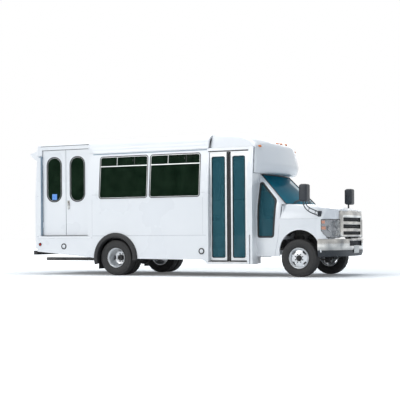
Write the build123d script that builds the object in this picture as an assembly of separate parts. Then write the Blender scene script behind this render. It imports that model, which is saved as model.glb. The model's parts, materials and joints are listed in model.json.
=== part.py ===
from build123d import *
import os
from math import cos, sin, radians

# A small accessible bus: a coach body with a double entrance door and a double lift door
# on its right side, standing behind a van cab on a ladder frame with twin rear wheels.
# Millimetres. +X is the front, +Z is up, the right side is -Y, the ground is Z = 0 and
# the origin is the middle of the bus's outline on the ground.

# Overall lengths
WHEELBASE = 4013
FRONT_OVERHANG = 860
REAR_OVERHANG = 2253
FRONT_AXLE = (WHEELBASE + FRONT_OVERHANG + REAR_OVERHANG) / 2 - FRONT_OVERHANG
REAR_AXLE = FRONT_AXLE - WHEELBASE

# Coach body section
BODY_HALF = 1219
WALL = 45
FLOOR_TOP = 834
FLOOR_THICK = 50
BELT_Z = 1700
WALL_TOP = 2585
WALL_LEAN = 75
ROOF_TOP = 2930
ROOF_EAVE = 24
CAP_TOP = 2950
CAP_LOW = 2060
REAR_WALL_LOW = 565

# Coach body stations along X: those of the front end count from the front axle,
# those of the rear end from the rear axle
REAR_FACE = REAR_AXLE - 2027
LIFT_REAR = REAR_AXLE - 1887
LIFT_FRONT = REAR_AXLE - 687
WINDOW_REAR = REAR_AXLE - 407
WINDOW_FRONT = FRONT_AXLE - 2030
ENTRANCE_REAR = FRONT_AXLE - 1850
ENTRANCE_FRONT = FRONT_AXLE - 998
POST_FRONT = FRONT_AXLE - 884
CAP_REAR = FRONT_AXLE - 1860
LEFT_POST_FRONT = FRONT_AXLE - 1450

# Doors of the coach body
LEAF_RECESS = 86
LEAF_FACE = BODY_HALF - LEAF_RECESS
LEAF_THICK = 40
LEAF_GAP = 6
MEET_GAP = 5
HINGE_RADIUS = 5
HINGE_LONG = 60
LIFT_HINGES = (1080, 2450)
ENTRANCE_HINGES = (560, 1400, 2240)
CAB_HINGES = (860, 1210)
HOOD_HINGES = (-560, 500)
JAMB = 45
ENTRANCE_SILL = 300
ENTRANCE_HEAD = 2510
LIFT_SILL = 838
LIFT_HEAD = 2700
PORTAL_TOP = 2790
ENTRANCE_LOW = 254
STEP_INNER = 520
STEPS = 2

# Windows
WINDOW_SILL = 1610
WINDOW_HEAD = 2510
WINDOW_RADIUS = 65
PILLAR = 40
GLASS = 6
LEFT_WINDOWS = 4

# Skirts
SKIRT_THICK = 25
SKIRT_LEVEL = 345
SKIRT_REAR_UP = 506
FLARE_OUT = 50

# Cab
CAB_HALF = 1000
CAB_WALL = 45
CAB_TOP = 2040
CAB_TOP_HALF = 800
CAB_BELT = 1400
CAB_SILL = 403
CAB_FLOOR = 780
DOOR_FRONT = FRONT_AXLE - 375
DOOR_HINGE = FRONT_AXLE - 367
DOOR_REAR = FRONT_AXLE - 1400
FENDER_REAR = FRONT_AXLE - 362
FIREWALL = FRONT_AXLE - 360
COWL = FRONT_AXLE - 215
COWL_Z = 1435
HOOD_GAP = 8
NOSE = FRONT_AXLE + 800
NOSE_Z = 1310
GRILLE_HALF = 680
ARCH_X = FRONT_AXLE + 22
ARCH_Z = 502

# Wheels
TYRE_RADIUS = 372
ARCH_CLEARANCE = 83
ARCH_RADIUS = TYRE_RADIUS + ARCH_CLEARANCE
FLARE_WIDE = 55
FLARE_RADIUS = ARCH_RADIUS + FLARE_WIDE
CAB_ARCH_CLEARANCE = 53
CAB_ARCH_RADIUS = TYRE_RADIUS + CAB_ARCH_CLEARANCE
TYRE_WIDTH = 225
RIM_RADIUS = 205
RIM_WALL = 12
RIM_LIP = 10
BEAD_IN = 22
HUB_RADIUS = 72
DISC_THICK = 9
FRONT_TRACK_HALF = 880
REAR_OUTER_HALF = 1102
DUAL_SPACING = 270
KINGPIN_HALF = 745
SPINDLE_RADIUS = 30
RUNNING_GAP = 0.1
SEAT_GAP = 0.3

# Floor and seats
CROSS_BEARERS = 9
SEAT_PITCH = 740
SEAT_PAIR = 860
SEAT_ROWS = 2
WHEEL_HALF = 200

# Chassis
RAIL_HALF = 430
RAIL_FLANGE = 60
RAIL_WALL = 8
RAIL_LOW = 560
RAIL_HIGH = 740
RAIL_REAR = REAR_AXLE - 1980
RAIL_FRONT = FRONT_AXLE + 690
ENGINE_HALF = 300
AXLE_END_RADIUS = 45
PIPE_RADIUS = 36
PART_GAP = 0.3

# Number plates: two bolts 7 inches apart
PLATE_PITCH = 177.8
PLATE_BOLT_RADIUS = 3.5
FRONT_PLATE_Z = 540
REAR_PLATE_Z = 475

SIDES = {"right": -1, "left": 1}

# Cutting depths: past the coach body's outer face and well inside it
OUTSIDE = BODY_HALF + 81
INSIDE = BODY_HALF - 219
WINDOW_CUT = (BODY_HALF - 319, BODY_HALF + 181)


def block(x, y, z):
    """Box between three pairs of limits."""
    size = [abs(b - a) for a, b in (x, y, z)]
    middle = [(a + b) / 2 for a, b in (x, y, z)]
    return Pos(*middle) * Box(*size)


def prism_x(points, x):
    """Outline in (Y, Z) drawn out between two X."""
    face = make_face(Polyline(*[(x[0], a, b) for a, b in points], close=True))
    return extrude(face, amount=x[1] - x[0], dir=(1, 0, 0))


def prism_y(points, y):
    """Outline in (X, Z) drawn out between two Y."""
    face = make_face(Polyline(*[(a, y[0], b) for a, b in points], close=True))
    return extrude(face, amount=y[1] - y[0], dir=(0, 1, 0))


def prism_z(points, z):
    """Outline in (X, Y) drawn out between two Z."""
    face = make_face(Polyline(*[(a, b, z[0]) for a, b in points], close=True))
    return extrude(face, amount=z[1] - z[0], dir=(0, 0, 1))


def rod(x, y, z, radius):
    """Cylinder along the one of x, y, z that is a pair of limits."""
    turns = {0: Rot(0, 90, 0), 1: Rot(90, 0, 0), 2: Rot(0, 0, 0)}
    spans = [isinstance(v, tuple) for v in (x, y, z)]
    axis = spans.index(True)
    low, high = (x, y, z)[axis]
    middle = [(low + high) / 2 if i == axis else v for i, v in enumerate((x, y, z))]
    return Pos(*middle) * turns[axis] * Cylinder(radius, abs(high - low))


def turned(profile, x, z):
    """Ring about an axle along Y, from an outline of (radius, Y)."""
    face = make_face(Polyline(*[(r, y, 0) for r, y in profile], close=True))
    return Pos(x, 0, z) * revolve(face, axis=Axis.Y)


def window_block(x, z, radius, y=(-1400, 1400)):
    """Block with rounded corners, to cut a window or to fill one."""
    return fillet(block(x, y, z).edges().filter_by(Axis.Y), radius)


def mirrored(part):
    """The same piece on the other side of the bus."""
    return mirror(part, about=Plane.XZ)


def on_side(part, side):
    """A piece drawn on the left side, put on the named side."""
    return part if side > 0 else mirrored(part)


def knuckle_z(z):
    """Limits of the fixed barrel and of the moving barrel above it."""
    return (z - HINGE_LONG, z - SEAT_GAP), (z, z + HINGE_LONG)


def post_hinges(x, jamb, heights):
    """Barrels fixed to a jamb at the outer face of a right-side leaf."""
    parts = None
    for z in heights:
        span = knuckle_z(z)[0]
        one = rod(x, -LEAF_FACE, span, HINGE_RADIUS)
        one += block((x, jamb), (-LEAF_FACE - 2, -LEAF_FACE + 2), span)
        parts = one if parts is None else parts + one
    return parts


def hang(leaf_body, x, heights):
    """Leaf with a barrel for each hinge, and a notch round the fixed barrel."""
    for z in heights:
        fixed, moving = knuckle_z(z)
        leaf_body -= rod(x, -LEAF_FACE, (fixed[0] - 1, moving[0]), HINGE_RADIUS + 1)
        leaf_body += rod(x, -LEAF_FACE, moving, HINGE_RADIUS)
    return leaf_body


# Coach body

def wall_outline(inner, low=FLOOR_TOP, high=WALL_TOP):
    """Left wall's section: upright to the belt, leaning in above, to an inner depth."""
    top = BODY_HALF - WALL_LEAN
    return [
        (BODY_HALF, low),
        (BODY_HALF, BELT_Z),
        (top, high),
        (top - inner, high),
        (BODY_HALF - inner, BELT_Z),
        (BODY_HALF - inner, low),
    ]


def jamb_outline(low, high=WALL_TOP):
    """Section of a door post, from the wall's outer face in past the leaf."""
    depth = LEAF_FACE - LEAF_THICK
    return [
        (BODY_HALF, low),
        (BODY_HALF, BELT_Z),
        (BODY_HALF - WALL_LEAN, high),
        (depth, high),
        (depth, low),
    ]


def side_window_spans():
    """X limits of the fixed windows between the lift door and the entrance."""
    width = (WINDOW_FRONT - WINDOW_REAR - PILLAR) / 2
    return [(WINDOW_REAR, WINDOW_REAR + width), (WINDOW_FRONT - width, WINDOW_FRONT)]


def left_window_spans():
    """X limits of the left side's windows."""
    first = REAR_FACE + 130
    last = LEFT_POST_FRONT - 150
    width = (last - first - (LEFT_WINDOWS - 1) * PILLAR) / LEFT_WINDOWS
    return [(first + i * (width + PILLAR), first + i * (width + PILLAR) + width)
            for i in range(LEFT_WINDOWS)]


def portal_outline(grow=0):
    """Outline in (X, Z) of the raised head over the lift door, slanted at its front."""
    rear = REAR_FACE + WALL
    front = LIFT_FRONT + 160
    rise = PORTAL_TOP - WALL_TOP
    return [
        (rear - grow, WALL_TOP - grow),
        (front + grow, WALL_TOP - grow),
        (front - rise + grow, PORTAL_TOP + grow),
        (rear - grow, PORTAL_TOP + grow),
    ]


def right_side_wall():
    wall = mirrored(prism_x(wall_outline(WALL), (REAR_FACE + WALL, POST_FRONT)))
    posts = [(LIFT_REAR - JAMB, LIFT_REAR), (LIFT_FRONT, LIFT_FRONT + JAMB)]
    for post in posts:
        wall += mirrored(prism_x(jamb_outline(FLOOR_TOP), post))
    wall += prism_y(portal_outline(), (-BODY_HALF + WALL_LEAN - ROOF_EAVE, -LEAF_FACE + LEAF_THICK))
    wall -= block((LIFT_REAR, LIFT_FRONT), (-OUTSIDE, -INSIDE), (0, LIFT_HEAD))
    for post in [(ENTRANCE_REAR - JAMB, ENTRANCE_REAR), (ENTRANCE_FRONT, ENTRANCE_FRONT + JAMB)]:
        wall += mirrored(prism_x(jamb_outline(ENTRANCE_LOW), post))
    closing = [(-BODY_HALF, ENTRANCE_LOW), (-BODY_HALF, BELT_Z), (-BODY_HALF + 35, CAP_LOW), (-806, CAP_LOW),
               (-935, CAB_BELT), (-935, ENTRANCE_LOW)]
    wall += prism_x(closing, (POST_FRONT - WALL, POST_FRONT))
    wall -= block((ENTRANCE_REAR, ENTRANCE_FRONT), (-OUTSIDE, -INSIDE), (0, ENTRANCE_HEAD))
    for span in side_window_spans():
        wall -= window_block(span, (WINDOW_SILL, WINDOW_HEAD), WINDOW_RADIUS, (-WINDOW_CUT[1], -WINDOW_CUT[0]))
    wall += post_hinges(LIFT_REAR + LEAF_GAP, LIFT_REAR, LIFT_HINGES)
    wall += post_hinges(LIFT_FRONT - LEAF_GAP, LIFT_FRONT, LIFT_HINGES)
    wall += post_hinges(ENTRANCE_REAR + LEAF_GAP, ENTRANCE_REAR, ENTRANCE_HINGES)
    wall += post_hinges(ENTRANCE_FRONT - LEAF_GAP, ENTRANCE_FRONT, ENTRANCE_HINGES)
    return wall


def left_side_wall():
    wall = prism_x(wall_outline(WALL), (REAR_FACE + WALL, LEFT_POST_FRONT))
    closing = [(BODY_HALF, FLOOR_TOP - 430), (BODY_HALF, BELT_Z), (BODY_HALF - 35, CAP_LOW), (806, CAP_LOW),
               (935, CAB_BELT), (935, FLOOR_TOP - 430)]
    wall += prism_x(closing, (LEFT_POST_FRONT - WALL, LEFT_POST_FRONT))
    for span in left_window_spans():
        wall -= window_block(span, (WINDOW_SILL, WINDOW_HEAD), WINDOW_RADIUS, WINDOW_CUT)
    return wall


def roof_face(x, inset, low, top):
    """Roof's section at one X: upright eaves, round coves and a shallow crown."""
    eave = BODY_HALF - WALL_LEAN + ROOF_EAVE - inset
    crown = top - inset
    shoulder = (eave - 210, crown - 70)
    cove = (eave - 60, (low + 55 + shoulder[1]) / 2 + 38)
    line = [
        Line((x, -eave, low), (x, eave, low)),
        Line((x, eave, low), (x, eave - 8, low + 55)),
        ThreePointArc((x, eave - 8, low + 55), (x, *cove), (x, *shoulder)),
        ThreePointArc((x, *shoulder), (x, 0, crown), (x, -shoulder[0], shoulder[1])),
        ThreePointArc((x, -shoulder[0], shoulder[1]), (x, -cove[0], cove[1]), (x, -eave + 8, low + 55)),
        Line((x, -eave + 8, low + 55), (x, -eave, low)),
    ]
    return make_face(line)


def arched(x, inset, low=WALL_TOP, top=ROOF_TOP):
    """Solid under the roof's section between two X."""
    return extrude(roof_face(x[0], inset, low, top), amount=x[1] - x[0], dir=(1, 0, 0))


def roof():
    shell = arched((REAR_FACE, CAP_REAR), 0) - arched((REAR_FACE + WALL, CAP_REAR), WALL)
    shell -= prism_y(portal_outline(0.3), (-OUTSIDE, -LEAF_FACE + LEAF_THICK + 0.3))
    return shell + rear_fairing()


def rear_fairing():
    """Air deflector that stands out behind the roof's rear edge."""
    outline = [(REAR_FACE, 2444), (REAR_FACE, 2700), (REAR_AXLE - REAR_OVERHANG, 2640),
               (REAR_AXLE - REAR_OVERHANG + 20, 2600)]
    return prism_y(outline, (-BODY_HALF + 129, BODY_HALF - 129))


def rear_wall():
    outline = [(BODY_HALF, REAR_WALL_LOW), (BODY_HALF, BELT_Z), (BODY_HALF - WALL_LEAN, WALL_TOP),
               (-BODY_HALF + WALL_LEAN, WALL_TOP), (-BODY_HALF, BELT_Z), (-BODY_HALF, REAR_WALL_LOW)]
    wall = prism_x(outline, (REAR_FACE, REAR_FACE + WALL))
    glass = Pos(REAR_FACE, 0, 0) * Rot(0, 0, 90) * window_block((-700, 700), (1560, 2380), 80, (-100, 100))
    return wall - glass


def plan_curve(front, corner, z, half=BODY_HALF - 19):
    """Plan of the front cap at one height, bowed forward between its corners."""
    rear = CAP_REAR
    edge = [
        Line((rear, -half, z), (corner - 120, -half, z)),
        Line((corner - 120, -half, z), (corner, -half + 100, z)),
        ThreePointArc((corner, -half + 100, z), (front, 0, z), (corner, half - 100, z)),
        Line((corner, half - 100, z), (corner - 120, half, z)),
        Line((corner - 120, half, z), (rear, half, z)),
        Line((rear, half, z), (rear, -half, z)),
    ]
    return make_face(edge)


def cap_body(inset):
    """Outer form of the front cap, or its hollow when inset."""
    # height, how far the middle and the corners stand behind the front axle
    stations = [(CAP_LOW + inset, 480, 800), (2600, 640, 866), (CAP_TOP + 60, 850, 990)]
    sections = [plan_curve(FRONT_AXLE - f - inset, FRONT_AXLE - c - inset, z) for z, f, c in stations]
    form = loft(sections, ruled=True)
    shoulder = BODY_HALF - WALL_LEAN
    foot = BODY_HALF - 33
    sides = [(-foot + inset, CAP_LOW), (-shoulder + inset, WALL_TOP), (-shoulder + inset, CAP_TOP),
             (shoulder - inset, CAP_TOP), (shoulder - inset, WALL_TOP), (foot - inset, CAP_LOW)]
    lower = prism_x(sides, (CAP_REAR, FRONT_AXLE))
    upper = arched((CAP_REAR, FRONT_AXLE), inset, CAP_LOW, CAP_TOP)
    # the top falls forward over the cab
    slope = [(CAP_REAR, CAP_LOW), (CAP_REAR, CAP_TOP - inset), (FRONT_AXLE - 1600, 2925 - inset),
             (FRONT_AXLE - 1180, 2832 - inset), (FRONT_AXLE - 800, 2690 - inset),
             (FRONT_AXLE - 560, 2560 - inset), (FRONT_AXLE - 300, 2400 - inset), (FRONT_AXLE - 300,
                                                                                  CAP_LOW)]
    return form & lower & upper & prism_y(slope, (-OUTSIDE, OUTSIDE))


def front_cap():
    shell = cap_body(0)
    hollow = cap_body(WALL)
    shell -= hollow
    shell -= block((CAP_REAR - 10, CAP_REAR + 1), (-BODY_HALF + 119, BODY_HALF - 119), (CAP_LOW, CAP_TOP))
    shell -= block((CAP_REAR - 100, POST_FRONT), (-OUTSIDE, 760), (CAP_LOW - 10, WALL_TOP))
    shell -= block((CAP_REAR - 100, LEFT_POST_FRONT), (0, OUTSIDE), (CAP_LOW - 10, WALL_TOP))
    return shell


# Lower body

def floor():
    plate = block((REAR_FACE + WALL, LEFT_POST_FRONT - WALL), (-BODY_HALF + WALL, BODY_HALF - WALL),
                  (FLOOR_TOP - FLOOR_THICK, FLOOR_TOP))
    lift_well = block((LIFT_REAR - JAMB, LIFT_FRONT + JAMB), (-OUTSIDE, -LEAF_FACE + LEAF_THICK), (700, 900))
    plate -= lift_well
    plate -= block((ENTRANCE_REAR - JAMB, FRONT_AXLE), (-OUTSIDE, -STEP_INNER), (700, 900))
    bearers = CROSS_BEARERS
    first = REAR_FACE + 160
    pitch = (ENTRANCE_REAR - JAMB - 60 - first) / (bearers - 1)
    for i in range(bearers):
        x = first + i * pitch
        half = 700 if abs(x - REAR_AXLE) < TYRE_RADIUS + 60 else BODY_HALF - 99
        plate += block((x - 25, x + 25), (-half, half), (RAIL_HIGH, FLOOR_TOP - FLOOR_THICK))
    return plate


def entrance_steps():
    """Welded step well: treads, risers and the two side plates."""
    rise = (FLOOR_TOP - ENTRANCE_SILL) / STEPS
    run = (LEAF_FACE - LEAF_THICK - 8 - STEP_INNER) / STEPS
    outer = -LEAF_FACE + LEAF_THICK + 8
    x = (ENTRANCE_REAR + 3, ENTRANCE_FRONT - 3)
    well = block(x, (-BODY_HALF, outer + run), (ENTRANCE_LOW, ENTRANCE_SILL - 5))
    for i in range(STEPS):
        y = outer + (i + 1) * run
        z = ENTRANCE_SILL - 5 + i * rise
        well += block(x, (y - 20, y), (z - 30, z + rise))
        if i < STEPS - 1:
            well += block(x, (y - 20, y + run), (z + rise - 30, z + rise))
    for side in (x[0], x[1] - 20):
        well += block((side, side + 20), (outer, -STEP_INNER), (ENTRANCE_LOW, FLOOR_TOP - 5))
    return well


def skirts():
    right = block((REAR_FACE + WALL, ENTRANCE_REAR - JAMB), (-BODY_HALF, -BODY_HALF + SKIRT_THICK),
                  (200, FLOOR_TOP))
    right -= block((LIFT_REAR, LIFT_FRONT), (-OUTSIDE, -INSIDE), (LIFT_SILL - 6, 900))
    left = block((REAR_FACE + WALL, LEFT_POST_FRONT - WALL), (BODY_HALF - SKIRT_THICK, BODY_HALF),
                 (200, FLOOR_TOP))
    # the lower edge rises behind the rear axle
    cut = [(REAR_FACE - 10, 190), (REAR_FACE - 10, SKIRT_REAR_UP), (REAR_AXLE - 490, 365),
           (REAR_AXLE + 523, 354), (ENTRANCE_REAR - 120, 336), (ENTRANCE_REAR - 20, ENTRANCE_LOW + 6),
           (LEFT_POST_FRONT + 50, ENTRANCE_LOW + 6), (LEFT_POST_FRONT + 50, 190)]
    left_cut = cut[:3] + [(REAR_AXLE + 523, 354), (LEFT_POST_FRONT + 50, 340), (LEFT_POST_FRONT + 50, 190)]
    right -= prism_y(cut, (-OUTSIDE, -INSIDE))
    left -= prism_y(left_cut, (INSIDE, OUTSIDE))
    for side in SIDES.values():
        arch = on_side(rod(REAR_AXLE, (INSIDE, OUTSIDE), TYRE_RADIUS, ARCH_RADIUS), side)
        right -= arch
        left -= arch
    return right + left


def wheel_flares():
    """Rubber flares round the rear wheels, with a mud flap behind each."""
    both = None
    for side in SIDES.values():
        ring = rod(REAR_AXLE, (BODY_HALF, BODY_HALF + FLARE_OUT), TYRE_RADIUS, FLARE_RADIUS)
        ring -= rod(REAR_AXLE, (BODY_HALF - 5, BODY_HALF + FLARE_OUT + 5), TYRE_RADIUS, ARCH_RADIUS)
        ring -= block((REAR_AXLE - 600, REAR_AXLE + 600), (BODY_HALF - 119, BODY_HALF + 181), (-200, 362))
        flap = block((REAR_AXLE - 432, REAR_AXLE - 424), (760, 1190),
                     (138, FLOOR_TOP - FLOOR_THICK - SEAT_GAP))
        piece = on_side(ring, side) + on_side(flap, side)
        both = piece if both is None else both + piece
    return both


def pane(span, z, side):
    """Window unit seated in its opening: gasket flange outside, frame and pane."""
    y = (880, 1240)
    unit = window_block(span, z, WINDOW_RADIUS, y) & prism_x(wall_outline(WALL - 10), span)
    return on_side(unit, side)


def side_windows():
    """Fixed windows of the coach body and its rear window."""
    unit = None
    for side, spans in ((-1, side_window_spans()), (1, left_window_spans())):
        for span in spans:
            one = pane(span, (WINDOW_SILL, WINDOW_HEAD), side)
            unit = one if unit is None else unit + one
    rear = Pos(REAR_FACE + WALL / 2, 0, 0) * Rot(0, 0, 90) * window_block((-700, 700), (1560, 2380), 80,
                                                                          (-12, 12))
    return unit + rear


# Doors of the coach body

def leaf(x, z, glass_x, glass_z, radius):
    """Upright door leaf with its window cut."""
    body = block(x, (-LEAF_FACE, -LEAF_FACE + LEAF_THICK), z)
    body -= window_block(glass_x, glass_z, radius, (-LEAF_FACE - 10, -LEAF_FACE + LEAF_THICK + 10))
    return body


def lift_leaf(rear):
    middle = (LIFT_REAR + LIFT_FRONT) / 2
    x = (LIFT_REAR + LEAF_GAP, middle - MEET_GAP) if rear else (middle + MEET_GAP, LIFT_FRONT - LEAF_GAP)
    centre = (x[0] + x[1]) / 2 + (10 if rear else -5)
    glass = (centre - 185, centre + 185)
    body = leaf(x, (LIFT_SILL + 8, LIFT_HEAD - 8), glass, (1580, 2537), 170)
    body += window_block(glass, (1580, 2537), 170, (-LEAF_FACE + 14, -LEAF_FACE + 14 + GLASS))
    return hang(body, x[0] if rear else x[1], LIFT_HINGES)


def entrance_spans():
    """X limits of the two entrance leaves and of their panes, rear leaf first."""
    middle = (ENTRANCE_REAR + ENTRANCE_FRONT) / 2
    rear = (ENTRANCE_REAR + LEAF_GAP, middle - MEET_GAP)
    front = (middle + MEET_GAP, ENTRANCE_FRONT - LEAF_GAP)
    return (rear, (rear[0] + 42, rear[1] - 80)), (front, (front[0] + 78, front[1] - 64))


def entrance_leaf(index):
    x, glass = entrance_spans()[index]
    body = leaf(x, (ENTRANCE_SILL + 4, ENTRANCE_HEAD - 8), glass, (380, 2410), 40)
    return hang(body, x[index], ENTRANCE_HINGES)


def entrance_glass(index):
    glass = entrance_spans()[index][1]
    return window_block(glass, (380, 2410), 40, (-LEAF_FACE + 14, -LEAF_FACE + 14 + GLASS))


# Chassis

def crossmember_places():
    """X of the chassis frame's crossmembers."""
    return [RAIL_REAR + 60, REAR_AXLE - 820, REAR_AXLE + 820, FRONT_AXLE - 2200, FRONT_AXLE - 1250,
            FRONT_AXLE + 520]


def chassis_frame():
    """Ladder of two channel rails and their crossmembers, with the engine's two mounts."""
    members = []
    half = RAIL_HALF - RAIL_WALL - PART_GAP
    for side in SIDES.values():
        rail = block((RAIL_REAR, RAIL_FRONT), (RAIL_HALF - RAIL_FLANGE, RAIL_HALF), (RAIL_LOW, RAIL_HIGH))
        rail -= block((RAIL_REAR - 5, RAIL_FRONT + 5), (RAIL_HALF - RAIL_FLANGE - 5, RAIL_HALF - RAIL_WALL),
                      (RAIL_LOW + RAIL_WALL, RAIL_HIGH - RAIL_WALL))
        members.append(on_side(rail, side))
        mount = block((FRONT_AXLE - 60, FRONT_AXLE + 40),
                      (ENGINE_HALF + SEAT_GAP, RAIL_HALF - RAIL_FLANGE - PART_GAP), (RAIL_HIGH - 45,
                                                                                     RAIL_HIGH))
        members.append(on_side(mount, side))
    for x in crossmember_places():
        members.append(block((x - 40, x + 40), (-half, half), (RAIL_LOW + 20, RAIL_HIGH - 20)))
    return Compound(children=members)


def engine_block():
    return block((FRONT_AXLE - 750, FRONT_AXLE + 300), (-ENGINE_HALF, ENGINE_HALF), (520, 1080))


def knuckle():
    """Left knuckle: kingpin boss, spindle and steering arm."""
    body = rod(FRONT_AXLE, KINGPIN_HALF, (TYRE_RADIUS - 95, TYRE_RADIUS + 95), 38)
    body += rod(FRONT_AXLE, (KINGPIN_HALF, FRONT_TRACK_HALF + 95), TYRE_RADIUS, SPINDLE_RADIUS)
    body += rod(FRONT_AXLE, (KINGPIN_HALF + 20, KINGPIN_HALF + 45), TYRE_RADIUS, 90)
    arm = block((FRONT_AXLE - 170, FRONT_AXLE), (KINGPIN_HALF - 10, KINGPIN_HALF + 17), (300, 325))
    return body + arm


def front_suspension():
    """Twin I beams, each hung from the far side of the frame, with a coil over each."""
    both = None
    for side, shift in ((-1, -45), (1, 45)):
        x = FRONT_AXLE + shift
        web = [(-320, 440), (-320, 500), (KINGPIN_HALF - 60, TYRE_RADIUS + 35),
               (KINGPIN_HALF - 60, TYRE_RADIUS - 35)]
        beam = prism_x(web, (x - 28, x + 28))
        ends = block((FRONT_AXLE - 45, FRONT_AXLE + 45), (KINGPIN_HALF - 100, KINGPIN_HALF - 45),
                     (TYRE_RADIUS - 130, TYRE_RADIUS + 130))
        yoke = None
        for z in ((TYRE_RADIUS - 130, TYRE_RADIUS - 95.3), (TYRE_RADIUS + 95.3, TYRE_RADIUS + 130)):
            ear = block((FRONT_AXLE - 40, FRONT_AXLE + 40), (KINGPIN_HALF - 60, KINGPIN_HALF + 35), z)
            yoke = ear if yoke is None else yoke + ear
        hanger = block((x - 35, x + 35), (-380, -306), (430, RAIL_LOW))
        coil = rod(FRONT_AXLE, 560, (TYRE_RADIUS + 40, RAIL_HIGH + 60), 60)
        tower = block((FRONT_AXLE - 70, FRONT_AXLE + 70), (RAIL_HALF, 620),
                      (RAIL_HIGH + 60, RAIL_HIGH + 75))
        foot = block((x - 75, x + 75), (500, 620), (TYRE_RADIUS + 10, TYRE_RADIUS + 40))
        one = on_side(beam + ends + yoke + hanger + coil + foot + tower, side)
        both = one if both is None else both + one
    return both


def tyre(y, z=TYRE_RADIUS, x=FRONT_AXLE):
    """Tyre about an axle along Y, with its middle at y."""
    half = TYRE_WIDTH / 2
    # radius and half width at the bead, the widest place and the shoulder
    side = [(RIM_RADIUS, half - BEAD_IN), (RIM_RADIUS + 78, half), (TYRE_RADIUS, half - 24)]
    outline = [(r, y + w) for r, w in side] + [(r, y - w) for r, w in reversed(side)]
    return turned(outline, x, z)


def wheel(x, y, lip, disc, hub, bore):
    """Wheel about an axle along Y: barrel, dished disc and hub in one outline.

    disc gives (radius, Y) of the disc's outer face from the barrel to the hub, hub its two Y limits.
    """
    half = TYRE_WIDTH / 2 - BEAD_IN + lip
    inner = RIM_RADIUS - RIM_WALL
    back = [(r, v - DISC_THICK) for r, v in reversed(disc)]
    outline = [(RIM_RADIUS, y - half), (RIM_RADIUS, y + half), (inner, y + half), (inner, disc[0][1])]
    outline += disc[1:] + [(HUB_RADIUS, hub[1]), (bore, hub[1]), (bore, hub[0]), (HUB_RADIUS, hub[0])]
    outline += back + [(inner, y - half)]
    outline = [p for i, p in enumerate(outline) if p != outline[i - 1]]
    return turned(outline, x, TYRE_RADIUS)


def front_rim():
    """Left front wheel, its disc bulging outward."""
    y = FRONT_TRACK_HALF
    disc = [(RIM_RADIUS - RIM_WALL, y + 40), (140, y + 80), (HUB_RADIUS, y + 80)]
    return wheel(FRONT_AXLE, y, RIM_LIP, disc, (y - 40, y + 110), SPINDLE_RADIUS + RUNNING_GAP)


def rear_tyres():
    outer = tyre(REAR_OUTER_HALF, x=REAR_AXLE)
    return outer + tyre(REAR_OUTER_HALF - DUAL_SPACING, x=REAR_AXLE)


def rear_rims():
    """Left twin wheels, their discs bolted back to back on one hub."""
    meet = REAR_OUTER_HALF - DUAL_SPACING / 2
    inner = RIM_RADIUS - RIM_WALL
    bore = AXLE_END_RADIUS + RUNNING_GAP
    outer_y = REAR_OUTER_HALF
    disc = [(inner, outer_y - 55), (140, meet + DISC_THICK), (HUB_RADIUS, meet + DISC_THICK)]
    outer = wheel(REAR_AXLE, outer_y, RIM_LIP, disc, (meet, meet + 100), bore)
    inner_y = REAR_OUTER_HALF - DUAL_SPACING
    disc = [(inner, inner_y + 55 + DISC_THICK), (140, meet), (HUB_RADIUS, meet)]
    return outer + wheel(REAR_AXLE, inner_y, RIM_LIP, disc, (meet - 90, meet), bore)


def rear_axle():
    """Axle housing with its differential, leaf springs, hangers and propeller shaft."""
    end = REAR_OUTER_HALF - DUAL_SPACING / 2 + 95
    body = rod(REAR_AXLE, (-end, end), TYRE_RADIUS, AXLE_END_RADIUS)
    body += turned([(0, -120), (100, -120), (160, -45), (160, 45), (100, 120), (0, 120)], REAR_AXLE,
                   TYRE_RADIUS)
    body += rod((REAR_AXLE, REAR_AXLE + 330), 0, TYRE_RADIUS, 70)
    body += rod((REAR_AXLE + 330, FRONT_AXLE - 1500), 0, TYRE_RADIUS, 45)
    for side in SIDES.values():
        y = 510
        leaf_spring = prism_y([(REAR_AXLE - 650, 520), (REAR_AXLE - 90, 445), (REAR_AXLE + 90, 445),
                               (REAR_AXLE + 650, 520), (REAR_AXLE + 650, 500), (REAR_AXLE + 90, 405),
                               (REAR_AXLE - 90, 405), (REAR_AXLE - 650, 500)], (y - 35, y + 35))
        for x in (REAR_AXLE - 650, REAR_AXLE + 650):
            leaf_spring += block((x - 30, x + 30), (RAIL_HALF, y + 35), (490, RAIL_HIGH - 40))
        body += on_side(leaf_spring, side)
    return body


def fuel_tank():
    tank = block((FRONT_AXLE - 3050, FRONT_AXLE - 1950), (RAIL_HALF + 25, RAIL_HALF + 445), (350, 690))
    tank = fillet(tank.edges().filter_by(Axis.X), 60)
    for x in (FRONT_AXLE - 2850, FRONT_AXLE - 2150):
        tank += block((x - 20, x + 20), (RAIL_HALF, RAIL_HALF + 445), (690, 705))
    return tank


def exhaust():
    """Pipe from the engine through the silencer, over the axle and out at the rear."""
    inner, outer, low, high = -250, -600, 330, 495
    path = FilletPolyline((FRONT_AXLE - 740, inner, 565), (FRONT_AXLE - 1400, inner, high),
                          (REAR_AXLE - 560, inner, high), (REAR_AXLE - 900, outer, low),
                          (REAR_FACE - 120, outer, low), radius=120)
    section = Plane(origin=path @ 0, z_dir=path % 0) * Circle(PIPE_RADIUS)
    pipe = sweep(section, path)
    pipe -= engine_block()
    return pipe + rod((REAR_AXLE + 900, REAR_AXLE + 1500), inner, high - 10, 62)


# Cab

def cab_outline(inner, low=CAB_SILL, high=CAB_TOP):
    """Section of the cab's left side: bulged to the crease, leaning in above the belt."""
    lean = (CAB_HALF - 15 - CAB_TOP_HALF) / (CAB_TOP - CAB_BELT)
    top = CAB_HALF - 15 - lean * (high - CAB_BELT)
    outer = [(CAB_HALF - 15, low), (CAB_HALF, 1143), (CAB_HALF - 15, CAB_BELT), (top, high)]
    return outer + [(y - inner, z) for y, z in reversed(outer)]


def fx(d):
    """X of a place that stands d in front of the front axle."""
    return FRONT_AXLE + d


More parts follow.
